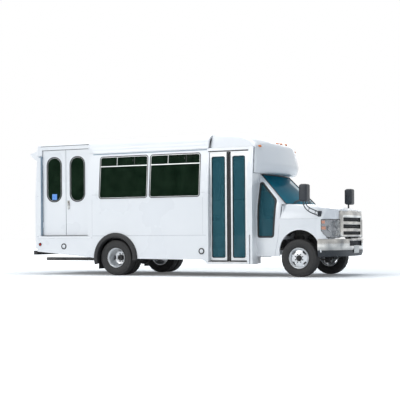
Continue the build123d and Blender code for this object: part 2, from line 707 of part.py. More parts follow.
def cab_side_panel():
    """Fixed panel on the right side, ahead of the entrance."""
    outline = [(fx(-500), CAB_SILL), (POST_FRONT, CAB_SILL), (POST_FRONT, 2020), (fx(-362), 1470),
               (fx(-362), COWL_Z), (fx(-428), 777)]
    panel = prism_x(cab_outline(CAB_WALL), (POST_FRONT, fx(-362))) & prism_y(outline, (0, OUTSIDE))
    panel -= prism_y(quarter_window(0), (0, OUTSIDE))
    return mirrored(panel)


def quarter_window(gap):
    return [(fx(-530 - gap), 790 + gap), (fx(-850 + gap), 790 + gap), (fx(-850 + gap), 1870 - gap),
            (fx(-800 - gap), 1870 - gap), (fx(-475 - gap), 1516 - gap)]


def nose_plan(inset):
    return [(fx(-500), -CAB_HALF + inset), (fx(-500), CAB_HALF - inset),
            (fx(490 - inset), CAB_HALF - inset),
            (fx(700 - inset), 800 - inset), (fx(780 - inset), 400), (fx(800 - inset),
                                                                     0), (fx(780 - inset), -400),
            (fx(700 - inset), -800 + inset), (fx(490 - inset), -CAB_HALF + inset)]


def nose_form(inset, low=CAB_SILL):
    """Outer form of the fenders and nose, or its hollow when inset."""
    half = CAB_HALF - inset
    section = [(half - 15, low), (half, 1143), (half - 125, COWL_Z), (-half + 125, COWL_Z), (-half, 1143),
               (-half + 15, low)]
    rear = [(fx(-500), low), (fx(-428), 777), (fx(-362), COWL_Z - inset)]
    if inset:
        rear = [(fx(-500), low), (fx(-500), COWL_Z - inset)]
    side = rear + [(COWL, COWL_Z - inset),
            (fx(800), NOSE_Z - inset), (fx(800), low)]
    return prism_x(section, (fx(-500), fx(800))) & prism_z(nose_plan(inset), (low, 1500)) \
        & prism_y(side, (-OUTSIDE, OUTSIDE))


def cab_shell():
    """Cab body: fenders, cowl, firewall, floor, posts, header and the fixed right panel."""
    nose = nose_form(0) - nose_form(30, CAB_SILL - 10)
    nose -= prism_z([(COWL, -846), (COWL, 846), (fx(644), 646), (fx(750), 400), (fx(900), 0),
                     (fx(750), -400),
                     (fx(644), -646)], (1250, 1500))
    nose -= block((fx(300), fx(900)), (-GRILLE_HALF - SEAT_GAP, GRILLE_HALF + SEAT_GAP),
                  (CAB_SILL - 10, 1290))
    nose -= block((fx(380), fx(900)), (-1100, 1100), (CAB_SILL - 10, 755))
    for side in SIDES.values():
        nose -= on_side(rod(ARCH_X, (600, OUTSIDE), ARCH_Z, CAB_ARCH_RADIUS), side)
        nose -= on_side(block((fx(-390), fx(420)), (600, OUTSIDE), (300, ARCH_Z)), side)
        nose -= on_side(prism_y([(fx(395), 764), (fx(395), 1131), (fx(900), 1131), (fx(900), 764)],
                                (GRILLE_HALF + SEAT_GAP, OUTSIDE)), side)
    shell = nose
    # firewall and floor, open over the engine
    shell += block((fx(-362), fx(-332)), (-950, 950), (CAB_FLOOR - 40, COWL_Z - 30)) \
        - block((fx(-400), fx(-300)), (-330, 330), (300, 1120))
    floor_plan = [(LEFT_POST_FRONT, -STEP_INNER), (LEFT_POST_FRONT, 925), (fx(-362), 925), (fx(-362), -925),
                  (POST_FRONT - WALL, -925), (POST_FRONT - WALL, -STEP_INNER)]
    shell += prism_z(floor_plan, (CAB_FLOOR - 40, CAB_FLOOR)) \
        - block((fx(-1000), fx(-300)), (-330, 330), (300, 1120))
    cover = block((fx(-1040), fx(-332)), (-370, 370), (CAB_FLOOR - 40, 1160)) \
        - block((fx(-1000), fx(-300)), (-330, 330), (CAB_FLOOR - 50, 1120))
    shell += cover
    # sills below the door and the fixed panel
    sill = prism_x([(985, CAB_SILL), (985, 425), (925, 425), (925, CAB_FLOOR), (890, CAB_FLOOR),
                    (890, CAB_SILL)],
                   (LEFT_POST_FRONT, fx(-475)))
    shell += sill
    shell += mirrored(block((POST_FRONT, fx(-500)), (890, 942), (CAB_SILL, CAB_FLOOR)))
    shell += cab_side_panel()
    for z in CAB_HINGES:
        fixed, moving = knuckle_z(z)
        shell -= rod(DOOR_HINGE, CAB_HALF, (moving[0] - SEAT_GAP, moving[1] + 1), 9)
        shell += rod(DOOR_HINGE, CAB_HALF, fixed, 8)
    for y in HOOD_HINGES:
        shell -= rod(COWL, (y + HINGE_LONG - SEAT_GAP, y + 2 * HINGE_LONG + 1), COWL_Z, HINGE_RADIUS + 1)
        shell += rod(COWL, (y, y + HINGE_LONG - SEAT_GAP), COWL_Z, HINGE_RADIUS)
    # front posts beside the windscreen
    for side in SIDES.values():
        foot = Polyline((fx(-362), 880), (fx(-300), 880), (fx(-330), 955), (fx(-362), 965), close=True)
        head = Polyline((fx(-940), 740), (fx(-880), 740), (fx(-900), 795), (fx(-940), 800), close=True)
        low = Pos(0, 0, COWL_Z) * make_face(foot)
        high = Pos(0, 0, CAB_TOP) * make_face(head)
        shell += on_side(loft([low, high], ruled=True), side)
    # header and the rail over the driver's door
    shell += block((fx(-960), fx(-888)), (-770, 770), (CAB_TOP - 50, CAP_LOW))
    shell += prism_x([(740, 2005), (796, 2005), (790, CAP_LOW), (740, CAP_LOW)],
                     (LEFT_POST_FRONT, fx(-905)))
    # rear post of the driver's door
    post = prism_x(cab_outline(CAB_WALL, CAB_SILL, 2010), (LEFT_POST_FRONT, DOOR_REAR - 8))
    shell += post
    return shell


def door_outline(gap):
    return [(fx(-509) - gap, 435 + gap), (DOOR_REAR + gap, 435 + gap), (DOOR_REAR + gap, 1200),
            (DOOR_REAR + 48 + gap, 1992 - gap), (fx(-965), 1992 - gap), (DOOR_FRONT - gap, 1420),
            (fx(-441) - gap, 777)]


def door_window(gap):
    return [(fx(-520) - gap, 1330 + gap), (DOOR_REAR + 75 + gap, 1330 + gap),
            (DOOR_REAR + 105 + gap, 1915 - gap),
            (fx(-960) - gap, 1915 - gap), (fx(-520) - gap, 1440)]


def driver_door():
    door = prism_x(cab_outline(50, 430, 2000), (DOOR_REAR, DOOR_FRONT)) & prism_y(door_outline(0),
                                                                                  (500, OUTSIDE))
    door -= prism_y(door_window(0), (500, OUTSIDE))
    for z in CAB_HINGES:
        span = knuckle_z(z)[1]
        door += rod(DOOR_HINGE, CAB_HALF, span, 8)
        door += block((DOOR_HINGE - 110, DOOR_HINGE), (CAB_HALF, CAB_HALF + 5), span)
        door += block((DOOR_HINGE - 110, fx(-440)), (CAB_HALF - 15, CAB_HALF + 1), span)
    return door


def driver_door_glass():
    sheet = prism_x(cab_outline(28, 430, 2000), (DOOR_REAR, DOOR_FRONT)) \
        - prism_x(cab_outline(22, 400, 2010), (DOOR_REAR - 5, DOOR_FRONT + 5))
    return sheet & prism_y(door_window(0), (500, OUTSIDE))


def screen_face(z, half, edge, bow):
    """Section of the windscreen at one height, bowed forward."""
    out = GLASS + 2
    line = [
        ThreePointArc((fx(edge), -half, z), (fx(edge + bow), 0, z), (fx(edge), half, z)),
        Line((fx(edge), half, z), (fx(edge + out), half, z)),
        ThreePointArc((fx(edge + out), half, z), (fx(edge + bow + out), 0, z), (fx(edge + out), -half, z)),
        Line((fx(edge + out), -half, z), (fx(edge), -half, z)),
    ]
    return make_face(line)


def windshield():
    return loft([screen_face(COWL_Z + SEAT_GAP, 878, -310, 70), screen_face(CAB_TOP, 738, -886, 60)],
                ruled=True)


def cab_quarter_glass():
    sheet = prism_x(cab_outline(28), (POST_FRONT, fx(-362)))
    sheet -= prism_x(cab_outline(22, CAB_SILL - 5, CAB_TOP + 5), (POST_FRONT - 5, fx(-300)))
    return mirrored(sheet & prism_y(quarter_window(0), (0, OUTSIDE)))


def hood():
    rear = COWL + HOOD_GAP
    side = [(rear, COWL_Z), (fx(800), NOSE_Z), (fx(800), NOSE_Z - 28), (rear, COWL_Z - 28)]
    plan = [(rear, -832), (rear, 832), (fx(638), 638), (fx(743), 396), (fx(768), 0), (fx(743), -396),
            (fx(638), -638)]
    panel = prism_y(side, (-1000, 1000)) & prism_z(plan, (1200, 1500))
    for y in HOOD_HINGES:
        panel += rod(COWL, (y + HINGE_LONG, y + 2 * HINGE_LONG), COWL_Z, HINGE_RADIUS)
        panel += block((COWL, rear + 20), (y + HINGE_LONG, y + 2 * HINGE_LONG), (COWL_Z - 2, COWL_Z + 2))
    return panel


def grille():
    half = GRILLE_HALF
    body = prism_z([(fx(700), -half), (fx(700), half), (fx(760), half), (fx(790), 400), (fx(812), 0),
                    (fx(790), -400), (fx(760), -half)], (775, 1278))
    for low, high in ((835, 895), (950, 1030), (1090, 1160)):
        body -= block((fx(690), fx(900)), (-520, 520), (low, high))
    return body


def lamps():
    """Head lamps in the nose's corners and upright tail lamps on the rear wall."""
    head = prism_z([(fx(400), 700), (fx(400), 960), (fx(490), 990), (fx(700), 795), (fx(722), 700)],
                   (764 + SEAT_GAP, 1131 - SEAT_GAP))
    tail = block((REAR_FACE - 18, REAR_FACE), (1000, 1120), (930, 1500))
    pair = head + tail
    return pair + mirrored(pair)


def front_bumper():
    outer = [(fx(395), 1005), (fx(560), 985), (fx(760), 760), (fx(840), 400), (fx(860), 170),
             (fx(860), -170), (fx(840), -400),
             (fx(760), -760), (fx(560), -985), (fx(395), -1005)]
    inner = [(fx(395), -955), (fx(540), -935), (fx(705), -730), (fx(780), -380), (fx(800), -170),
             (fx(800), 170), (fx(780), 380),
             (fx(705), 730), (fx(540), 935), (fx(395), 955)]
    bar = prism_z(outer + inner, (400, 745))
    for side in SIDES.values():
        bar += on_side(block((RAIL_FRONT, fx(782)), (RAIL_HALF - 50, RAIL_HALF), (600, 700)), side)
    for y in (-PLATE_PITCH / 2, PLATE_PITCH / 2):
        bar -= rod((fx(700), fx(900)), y, FRONT_PLATE_Z, PLATE_BOLT_RADIUS)
    return bar


def rear_bumper():
    bar = block((REAR_FACE - 97, REAR_FACE - 10), (-1150, 1150), (430, 520))
    for side in SIDES.values():
        bar += on_side(block((REAR_FACE - 12, RAIL_REAR), (RAIL_HALF - 60, RAIL_HALF), (430, 560)), side)
        bar += on_side(block((RAIL_REAR - 2, RAIL_REAR + 90), (RAIL_HALF - 60, RAIL_HALF), (500, 560)),
                       side)
    for y in (-PLATE_PITCH / 2, PLATE_PITCH / 2):
        bar -= rod((REAR_FACE - 120, REAR_FACE), y, REAR_PLATE_Z, PLATE_BOLT_RADIUS)
    return bar


def mirrors():
    """Door mirrors on double tubes from the front fenders."""
    both = None
    for side in SIDES.values():
        head = block((fx(184), fx(300)), (1230, 1450), (1461, 1800))
        head = chamfer(head.edges(), 22)
        for z in (1500, 1720):
            head += rod(fx(240), (1090, 1235), z, 8)
        head += rod(fx(240), 1095, (1225, 1740), 11)
        foot = rod(fx(240), (900, 1095), 1240, 9) - nose_form(0)
        piece = on_side(head + foot, side)
        both = piece if both is None else both + piece
    return both


def dashboard():
    board = prism_y([(fx(-362) - SEAT_GAP, 1170), (fx(-362) - SEAT_GAP, 1395), (fx(-560), 1380),
                     (fx(-640), 1250), (fx(-560), 1170)], (-855, 855))
    column = Pos(fx(-650), 450, 1348) * Rot(0, -60, 0) * Cylinder(28, 300)
    ring = Cylinder(WHEEL_HALF, 24) - Cylinder(WHEEL_HALF - 26, 30)
    ring += Box(24, 2 * WHEEL_HALF - 20, 14) + Cylinder(50, 24)
    return board + column + Pos(fx(-740), 450, 1400) * Rot(0, -60, 0) * ring


def seat(x, y, width, base_z):
    """Seat cushion and back on a pedestal, facing forward."""
    piece = chamfer(block((x, x + 450), (y, y + width), (base_z + 330, base_z + 450)).edges(), 18)
    back = prism_y([(x - 10, base_z + 420), (x + 80, base_z + 420), (x - 35, base_z + 1000),
                    (x - 115, base_z + 1000)],
                   (y, y + width))
    piece += back
    piece += block((x + 120, x + 340), (y + width / 2 - 110, y + width / 2 + 110), (base_z, base_z + 335))
    return piece


def seats():
    rows = None
    for x in [WINDOW_REAR + 560 + i * SEAT_PITCH for i in range(SEAT_ROWS)]:
        one = seat(x, 1155 - SEAT_PAIR, SEAT_PAIR, FLOOR_TOP) + seat(x, -1155, SEAT_PAIR, FLOOR_TOP)
        rows = one if rows is None else rows + one
    return rows + seat(fx(-1310), 378, 420, CAB_FLOOR)


def wheelchair_lift():
    """Stowed lift inside the lift door: two posts, base plate and folded platform."""
    y = -LEAF_FACE + LEAF_THICK + 40
    lift = block((LIFT_REAR + 30, LIFT_FRONT - 30), (y, y + 180), (FLOOR_TOP, FLOOR_TOP + 20))
    for x in (LIFT_REAR + 40, LIFT_FRONT - 120):
        lift += block((x, x + 80), (y + 60, y + 160), (FLOOR_TOP + 20, FLOOR_TOP + 1250))
    lift += block((LIFT_REAR + 150, LIFT_FRONT - 150), (y + 20, y + 60), (FLOOR_TOP + 60, FLOOR_TOP + 1200))
    lift += block((LIFT_REAR + 120, LIFT_FRONT - 120), (y + 60, y + 140),
                  (FLOOR_TOP + 120, FLOOR_TOP + 200))
    return lift


def build_all():
    return {
        "chassis_frame": chassis_frame(), "engine_block": engine_block(),
        "front_suspension": front_suspension(), "rear_axle": rear_axle(), "fuel_tank": fuel_tank(),
        "exhaust": exhaust(),
        "knuckle_left": knuckle(), "knuckle_right": mirrored(knuckle()),
        "front_tyre_left": tyre(FRONT_TRACK_HALF), "front_tyre_right": mirrored(tyre(FRONT_TRACK_HALF)),
        "front_rim_left": front_rim(), "front_rim_right": mirrored(front_rim()),
        "rear_tyres_left": rear_tyres(), "rear_tyres_right": mirrored(rear_tyres()),
        "rear_rims_left": rear_rims(), "rear_rims_right": mirrored(rear_rims()),
        "floor": floor(), "right_side_wall": right_side_wall(), "left_side_wall": left_side_wall(),
        "roof": roof(), "rear_wall": rear_wall(), "front_cap": front_cap(), "skirts": skirts(),
        "wheel_flares": wheel_flares(), "side_windows": side_windows() + cab_quarter_glass(),
        "entrance_steps": entrance_steps(),
        "entrance_door_rear": entrance_leaf(0), "entrance_door_front": entrance_leaf(1),
        "entrance_glass_rear": entrance_glass(0), "entrance_glass_front": entrance_glass(1),
        "lift_door_rear": lift_leaf(True), "lift_door_front": lift_leaf(False),
        "cab_shell": cab_shell(), "windshield": windshield(), "driver_door": driver_door(),
        "driver_door_glass": driver_door_glass(), "hood": hood(), "grille": grille(), "lamps": lamps(),
        "front_bumper": front_bumper(), "rear_bumper": rear_bumper(), "mirrors": mirrors(),
        "dashboard": dashboard(), "seats": seats(), "wheelchair_lift": wheelchair_lift(),
    }


os.makedirs("parts", exist_ok=True)
for name, solid in build_all().items():
    export_step(solid, f"parts/{name}.step")
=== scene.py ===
import json
import math

import bmesh
import bpy
from mathutils import Matrix, Vector
from mathutils.bvhtree import BVHTree

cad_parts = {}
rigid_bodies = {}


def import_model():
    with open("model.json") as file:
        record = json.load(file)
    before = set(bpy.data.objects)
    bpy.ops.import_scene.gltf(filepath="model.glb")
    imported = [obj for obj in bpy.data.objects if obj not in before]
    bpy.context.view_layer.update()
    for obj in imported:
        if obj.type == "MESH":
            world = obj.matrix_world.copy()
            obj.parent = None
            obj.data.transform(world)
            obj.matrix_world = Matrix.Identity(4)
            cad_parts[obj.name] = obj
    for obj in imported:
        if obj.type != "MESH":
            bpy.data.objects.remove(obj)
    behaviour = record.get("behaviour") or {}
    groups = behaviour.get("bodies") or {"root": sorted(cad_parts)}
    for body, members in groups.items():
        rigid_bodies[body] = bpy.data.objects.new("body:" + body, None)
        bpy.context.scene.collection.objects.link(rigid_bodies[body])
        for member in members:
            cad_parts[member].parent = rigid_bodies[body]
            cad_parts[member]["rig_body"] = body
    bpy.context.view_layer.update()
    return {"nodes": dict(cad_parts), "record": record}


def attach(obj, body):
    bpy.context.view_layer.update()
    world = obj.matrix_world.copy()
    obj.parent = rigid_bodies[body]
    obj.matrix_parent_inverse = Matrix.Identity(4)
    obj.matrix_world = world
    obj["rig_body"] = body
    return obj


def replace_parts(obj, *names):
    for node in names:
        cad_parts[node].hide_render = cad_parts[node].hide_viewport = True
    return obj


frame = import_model()
NODES = frame["nodes"]

# Stations in metres, as in the CAD: front and rear axle
FA = 2.703
RA = -1.310


# Camera
def make_camera():
    """Camera at the photograph's place, level, with a small roll."""
    data = bpy.data.cameras.new("camera")
    data.sensor_width = 36.0
    data.lens = 96.48
    data.shift_y = 0.0887
    data.clip_end = 500.0
    cam = bpy.data.objects.new("camera", data)
    bpy.context.scene.collection.objects.link(cam)
    forward = Vector((-0.4457, 0.8952, 0.0)).normalized()
    right = forward.cross(Vector((0, 0, 1))).normalized()
    up = right.cross(forward)
    basis = Matrix((right, up, -forward)).transposed().to_4x4()
    roll = Matrix.Rotation(-0.0063, 4, "Z")
    cam.matrix_world = Matrix.Translation((10.3055, -20.5689, 0.8281)) @ basis @ roll
    bpy.context.scene.camera = cam


make_camera()


# Floor, world and lights
def new_material(name):
    mat = bpy.data.materials.new(name)
    mat.use_nodes = True
    nodes = mat.node_tree.nodes
    nodes.clear()
    return mat, nodes, mat.node_tree.links


def make_floor():
    mesh = bpy.data.meshes.new("floor_plane")
    s = 120.0
    mesh.from_pydata([(-s, -s, 0), (s, -s, 0), (s, s, 0), (-s, s, 0)], [], [(0, 1, 2, 3)])
    obj = bpy.data.objects.new("floor_plane", mesh)
    bpy.context.scene.collection.objects.link(obj)
    mat, nodes, links = new_material("floor_white")
    out = nodes.new("ShaderNodeOutputMaterial")
    shader = nodes.new("ShaderNodeBsdfPrincipled")
    shader.inputs["Roughness"].default_value = 0.9
    shader.inputs["Specular IOR Level"].default_value = 0.0
    coords = nodes.new("ShaderNodeTexCoord")
    noise = nodes.new("ShaderNodeTexNoise")
    noise.inputs["Scale"].default_value = 6.0
    ramp = nodes.new("ShaderNodeValToRGB")
    ramp.color_ramp.elements[0].color = (0.94, 0.94, 0.94, 1)
    ramp.color_ramp.elements[1].color = (0.98, 0.98, 0.98, 1)
    links.new(coords.outputs["Object"], noise.inputs["Vector"])
    links.new(noise.outputs["Fac"], ramp.inputs["Fac"])
    links.new(ramp.outputs["Color"], shader.inputs["Base Color"])
    glow = nodes.new("ShaderNodeEmission")
    far = nodes.new("ShaderNodeVectorMath")
    far.operation = "LENGTH"
    span = nodes.new("ShaderNodeMapRange")
    span.inputs["From Min"].default_value = 4.0
    span.inputs["From Max"].default_value = 13.0
    span.inputs["To Min"].default_value = 0.10
    span.inputs["To Max"].default_value = 1.0
    path = nodes.new("ShaderNodeLightPath")
    seen = nodes.new("ShaderNodeMath")
    seen.operation = "MULTIPLY"
    total = nodes.new("ShaderNodeAddShader")
    links.new(coords.outputs["Object"], far.inputs[0])
    links.new(far.outputs["Value"], span.inputs["Value"])
    links.new(span.outputs["Result"], seen.inputs[0])
    clear = nodes.new("ShaderNodeMath")
    clear.operation = "ADD"
    clear.use_clamp = True
    rays = nodes.new("ShaderNodeMath")
    rays.operation = "ADD"
    rays.use_clamp = True
    links.new(path.outputs["Is Camera Ray"], clear.inputs[0])
    links.new(path.outputs["Is Glossy Ray"], clear.inputs[1])
    links.new(clear.outputs[0], rays.inputs[0])
    links.new(path.outputs["Is Transmission Ray"], rays.inputs[1])
    links.new(rays.outputs[0], seen.inputs[1])
    links.new(seen.outputs[0], glow.inputs["Strength"])
    links.new(shader.outputs["BSDF"], total.inputs[0])
    links.new(glow.outputs["Emission"], total.inputs[1])
    links.new(total.outputs["Shader"], out.inputs["Surface"])
    mesh.materials.append(mat)


def make_world():
    world = bpy.data.worlds.new("world")
    bpy.context.scene.world = world
    world.use_nodes = True
    nodes = world.node_tree.nodes
    links = world.node_tree.links
    nodes.clear()
    out = nodes.new("ShaderNodeOutputWorld")
    path = nodes.new("ShaderNodeLightPath")
    soft = nodes.new("ShaderNodeBackground")
    soft.inputs["Color"].default_value = (0.74, 0.87, 1.0, 1)
    soft.inputs["Strength"].default_value = 0.50
    seen = nodes.new("ShaderNodeBackground")
    seen.inputs["Color"].default_value = (1, 1, 1, 1)
    seen.inputs["Strength"].default_value = 1.0
    top = nodes.new("ShaderNodeMath")
    top.operation = "MAXIMUM"
    both = nodes.new("ShaderNodeMath")
    both.operation = "MAXIMUM"
    mix = nodes.new("ShaderNodeMixShader")
    links.new(path.outputs["Is Camera Ray"], top.inputs[0])
    links.new(path.outputs["Is Glossy Ray"], top.inputs[1])
    links.new(top.outputs[0], both.inputs[0])
    links.new(path.outputs["Is Transmission Ray"], both.inputs[1])
    links.new(both.outputs[0], mix.inputs["Fac"])
    links.new(soft.outputs["Background"], mix.inputs[1])
    links.new(seen.outputs["Background"], mix.inputs[2])
    links.new(mix.outputs["Shader"], out.inputs["Surface"])


def area_light(name, place, target, size, power, colour):
    data = bpy.data.lights.new(name, "AREA")
    data.shape = "RECTANGLE"
    data.size, data.size_y = size
    data.energy = power
    data.color = colour
    obj = bpy.data.objects.new(name, data)
    bpy.context.scene.collection.objects.link(obj)
    obj.location = place
    obj.rotation_euler = (Vector(target) - Vector(place)).to_track_quat("-Z", "Y").to_euler()


make_floor()
make_world()
area_light("key", (-7.0, -16.0, 9.0), (0, 0, 1.2), (9, 6), 1050, (1.0, 0.985, 0.96))
area_light("top", (0.0, -1.0, 13.0), (0, 0, 0), (10, 7), 950, (1.0, 1.0, 1.0))
area_light("back", (-4.0, 14.0, 7.0), (0, 0, 1.0), (9, 6), 350, (0.95, 0.98, 1.0))


# Materials
def mottled(name, low, high, scale=3.0, rough=(0.3, 0.45), bump=0.0, bump_scale=60.0, metallic=0.0,
            coat=0.0, alpha=1.0, transmission=0.0, detail=4.0, specular=0.5, distance=0.002):
    """Shader whose colour, roughness and relief vary by noise in the object's own space."""
    mat, nodes, links = new_material(name)
    out = nodes.new("ShaderNodeOutputMaterial")
    shader = nodes.new("ShaderNodeBsdfPrincipled")
    shader.inputs["Metallic"].default_value = metallic
    shader.inputs["Coat Weight"].default_value = coat
    shader.inputs["Coat Roughness"].default_value = 0.08
    shader.inputs["Alpha"].default_value = alpha
    shader.inputs["Transmission Weight"].default_value = transmission
    shader.inputs["Specular IOR Level"].default_value = specular
    shader.inputs["IOR"].default_value = 1.5 if specular > 0.15 else 1.18
    coords = nodes.new("ShaderNodeTexCoord")
    noise = nodes.new("ShaderNodeTexNoise")
    noise.inputs["Scale"].default_value = scale
    noise.inputs["Detail"].default_value = detail
    ramp = nodes.new("ShaderNodeValToRGB")
    ramp.color_ramp.elements[0].position = 0.3
    ramp.color_ramp.elements[1].position = 0.7
    ramp.color_ramp.elements[0].color = (*low, 1)
    ramp.color_ramp.elements[1].color = (*high, 1)
    span = nodes.new("ShaderNodeMapRange")
    span.inputs["To Min"].default_value = rough[0]
    span.inputs["To Max"].default_value = rough[1]
    links.new(coords.outputs["Object"], noise.inputs["Vector"])
    links.new(noise.outputs["Fac"], ramp.inputs["Fac"])
    links.new(ramp.outputs["Color"], shader.inputs["Base Color"])
    links.new(noise.outputs["Fac"], span.inputs["Value"])
    links.new(span.outputs["Result"], shader.inputs["Roughness"])
    if bump:
        fine = nodes.new("ShaderNodeTexNoise")
        fine.inputs["Scale"].default_value = bump_scale
        fine.inputs["Detail"].default_value = 3.0
        relief = nodes.new("ShaderNodeBump")
        relief.inputs["Strength"].default_value = bump
        relief.inputs["Distance"].default_value = distance
        links.new(coords.outputs["Object"], fine.inputs["Vector"])
        links.new(fine.outputs["Fac"], relief.inputs["Height"])
        links.new(relief.outputs["Normal"], shader.inputs["Normal"])
    links.new(shader.outputs["BSDF"], out.inputs["Surface"])
    return mat


MATS = {
    "white_paint": mottled("white_paint_mat", (0.80, 0.81, 0.83), (0.84, 0.845, 0.855), 0.8, (0.22, 0.34),
                           0.12, 24.0, coat=0.4, distance=0.0006),
    "white_panel": mottled("white_panel_mat", (0.79, 0.80, 0.82), (0.84, 0.845, 0.855), 1.2, (0.30, 0.42),
                           0.15, 14.0, coat=0.3, distance=0.0008),
    "black_steel": mottled("black_steel_mat", (0.012, 0.012, 0.013), (0.03, 0.03, 0.032), 5.0, (0.4, 0.6),
                           0.3, 120.0),
    "grey_steel": mottled("grey_steel_mat", (0.10, 0.10, 0.10), (0.20, 0.19, 0.18), 9.0, (0.5, 0.75),
                          0.5, 90.0, metallic=0.6),
    "rubber": mottled("rubber_mat", (0.012, 0.012, 0.013), (0.022, 0.022, 0.023), 12.0, (0.55, 0.7), 0.3, 220.0),
    "tyre": mottled("tyre_mat", (0.014, 0.014, 0.015), (0.028, 0.027, 0.026), 14.0, (0.6, 0.8), 0.4, 200.0),
    "rim": mottled("rim_mat", (0.68, 0.70, 0.72), (0.80, 0.81, 0.82), 10.0, (0.25, 0.4), 0.15, 90.0,
                   metallic=0.55),
    # Chrome's base colour runs in broad blotches from dark grey to pale warm grey: painted reflections of the
    # surroundings on the bright metal.
    "chrome": mottled("chrome_painted_reflections_mat", (0.16, 0.17, 0.18), (0.66, 0.65, 0.62), 2.6, (0.05, 0.12), 0.08, 7.0,
                      metallic=1.0, distance=0.0004),
    "glass": mottled("glass_mat", (0.030, 0.115, 0.150), (0.045, 0.15, 0.185), 1.5, (0.02, 0.05), 0.0, alpha=0.60,
                     specular=0.12),
    # Window glass: the dark tint is real; its green cast and patchy mottle are painted reflection of trees.
    "tint": mottled("tint_and_painted_reflection_mat", (0.004, 0.012, 0.006), (0.012, 0.026, 0.014), 5.0, (0.02, 0.06), 0.0,
                    alpha=0.92, specular=0.08, detail=8.0),
    "lamp": mottled("lamp_mat", (0.20, 0.20, 0.21), (0.34, 0.34, 0.35), 30.0, (0.10, 0.2), 0.1, 80.0, metallic=0.7),
    "floor_cover": mottled("floor_cover_mat", (0.05, 0.052, 0.055), (0.09, 0.09, 0.10), 40.0, (0.5, 0.7),
                           0.2, 300.0),
    "aluminium": mottled("aluminium_mat", (0.60, 0.61, 0.62), (0.70, 0.71, 0.72), 6.0, (0.28, 0.42), 0.1,
                         140.0, metallic=0.7),
    "trim": mottled("trim_mat", (0.03, 0.03, 0.033), (0.055, 0.055, 0.06), 20.0, (0.5, 0.65), 0.3, 400.0),
    "fabric": mottled("fabric_mat", (0.02, 0.035, 0.09), (0.04, 0.06, 0.14), 40.0, (0.8, 0.95), 0.6, 700.0),
}
SLOT_OF = {row["node"]: row["material_slot"] for row in frame["record"]["subparts"]}
for node, obj in NODES.items():
    obj.data.materials.clear()
    obj.data.materials.append(MATS[SLOT_OF[node]])


MATS.update({
    # Grey of real panel seams and joints; also used as painted shade along the fender crease.
    "seam": mottled("seam_and_crease_shade_mat", (0.30, 0.31, 0.33), (0.42, 0.43, 0.45), 20.0, (0.5, 0.6), 0.1, 60.0),
    "lens_clear": mottled("lens_clear_mat", (0.80, 0.82, 0.84), (0.88, 0.89, 0.90), 40.0, (0.03, 0.08), 0.1, 90.0,
                          alpha=0.14),
    "lens_red": mottled("lens_red_mat", (0.45, 0.008, 0.008), (0.62, 0.02, 0.015), 60.0, (0.06, 0.14), 0.2, 160.0),
    "lens_amber": mottled("lens_amber_mat", (0.72, 0.16, 0.02), (0.88, 0.26, 0.04), 60.0, (0.06, 0.14), 0.2, 160.0),
    "blue_film": mottled("blue_film_mat", (0.07, 0.22, 0.62), (0.16, 0.36, 0.80), 22.0, (0.3, 0.4), 0.05, 60.0),
    "hub_metal": mottled("hub_metal_mat", (0.015, 0.015, 0.016), (0.05, 0.05, 0.05), 30.0, (0.4, 0.6), 0.2, 120.0,
                         metallic=0.8),
    # Wheel nuts: the near-black base colour is painted shade around the bright nuts.
    "nut_metal_painted_shade": mottled("nut_metal_painted_shade_mat", (0.02, 0.02, 0.022), (0.06, 0.06, 0.06), 60.0, (0.35, 0.5), 0.1, 200.0,
                         metallic=0.9),
    "liner": mottled("liner_mat", (0.012, 0.012, 0.012), (0.03, 0.028, 0.026), 9.0, (0.7, 0.9), 0.5, 60.0),
    "black_plastic": mottled("black_plastic_mat", (0.008, 0.012, 0.018), (0.018, 0.024, 0.032), 15.0, (0.4, 0.55),
                             0.3, 420.0),
    "plate_white": mottled("plate_white_mat", (0.62, 0.62, 0.60), (0.72, 0.72, 0.70), 16.0, (0.35, 0.45), 0.05, 60.0),
    "mirror_glass": mottled("mirror_glass_mat", (0.80, 0.82, 0.84), (0.86, 0.88, 0.90), 4.0, (0.02, 0.05), 0.0,
                            metallic=1.0),
    "screen_glass": mottled("screen_glass_mat", (0.001, 0.12, 0.18), (0.002, 0.17, 0.25), 1.2, (0.02, 0.05), 0.0,
                            alpha=0.95, specular=0.06),
    # Blue-grey painted shade: laid on the lift door's shaded rear jamb face and as painted shadow under the drip rails.
    "painted_shade": mottled("painted_shade_mat", (0.22, 0.30, 0.38), (0.30, 0.38, 0.46), 6.0, (0.4, 0.5), 0.1, 60.0),
})

# Shape helpers
SCENE = bpy.context.scene.collection
BODY_HALF = 1.219
BELT_Z = 1.70
WALL_TOP = 2.585
LEAN = 0.075


def fx(d):
    """X of a place that stands d in front of the front axle."""
    return FA + d


def finish_mesh(name, bm, mat, body="bus_body", angle=35.0):
    """Object from a bmesh, smooth but for its sharp edges, riding on a body."""
    bmesh.ops.recalc_face_normals(bm, faces=bm.faces)
    mesh = bpy.data.meshes.new(name)
    bm.to_mesh(mesh)
    bm.free()
    mats = mat if isinstance(mat, (list, tuple)) else [mat]
    for m in mats:
        mesh.materials.append(MATS[m])
    mesh.polygons.foreach_set("use_smooth", [True] * len(mesh.polygons))
    mesh.set_sharp_from_angle(angle=math.radians(angle))
    obj = bpy.data.objects.new(name, mesh)
    SCENE.objects.link(obj)
    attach(obj, body)
    return obj


def rounded(u0, u1, v0, v1, r, n=7):
    """Loop of a rectangle with round corners."""
    pts = []
    for cu, cv, a0 in ((u1 - r, v1 - r, 0), (u0 + r, v1 - r, 90), (u0 + r, v0 + r, 180), (u1 - r, v0 + r, 270)):
        for i in range(n):
            a = math.radians(a0 + 90 * i / (n - 1))
            pts.append((cu + r * math.cos(a), cv + r * math.sin(a)))
    return pts


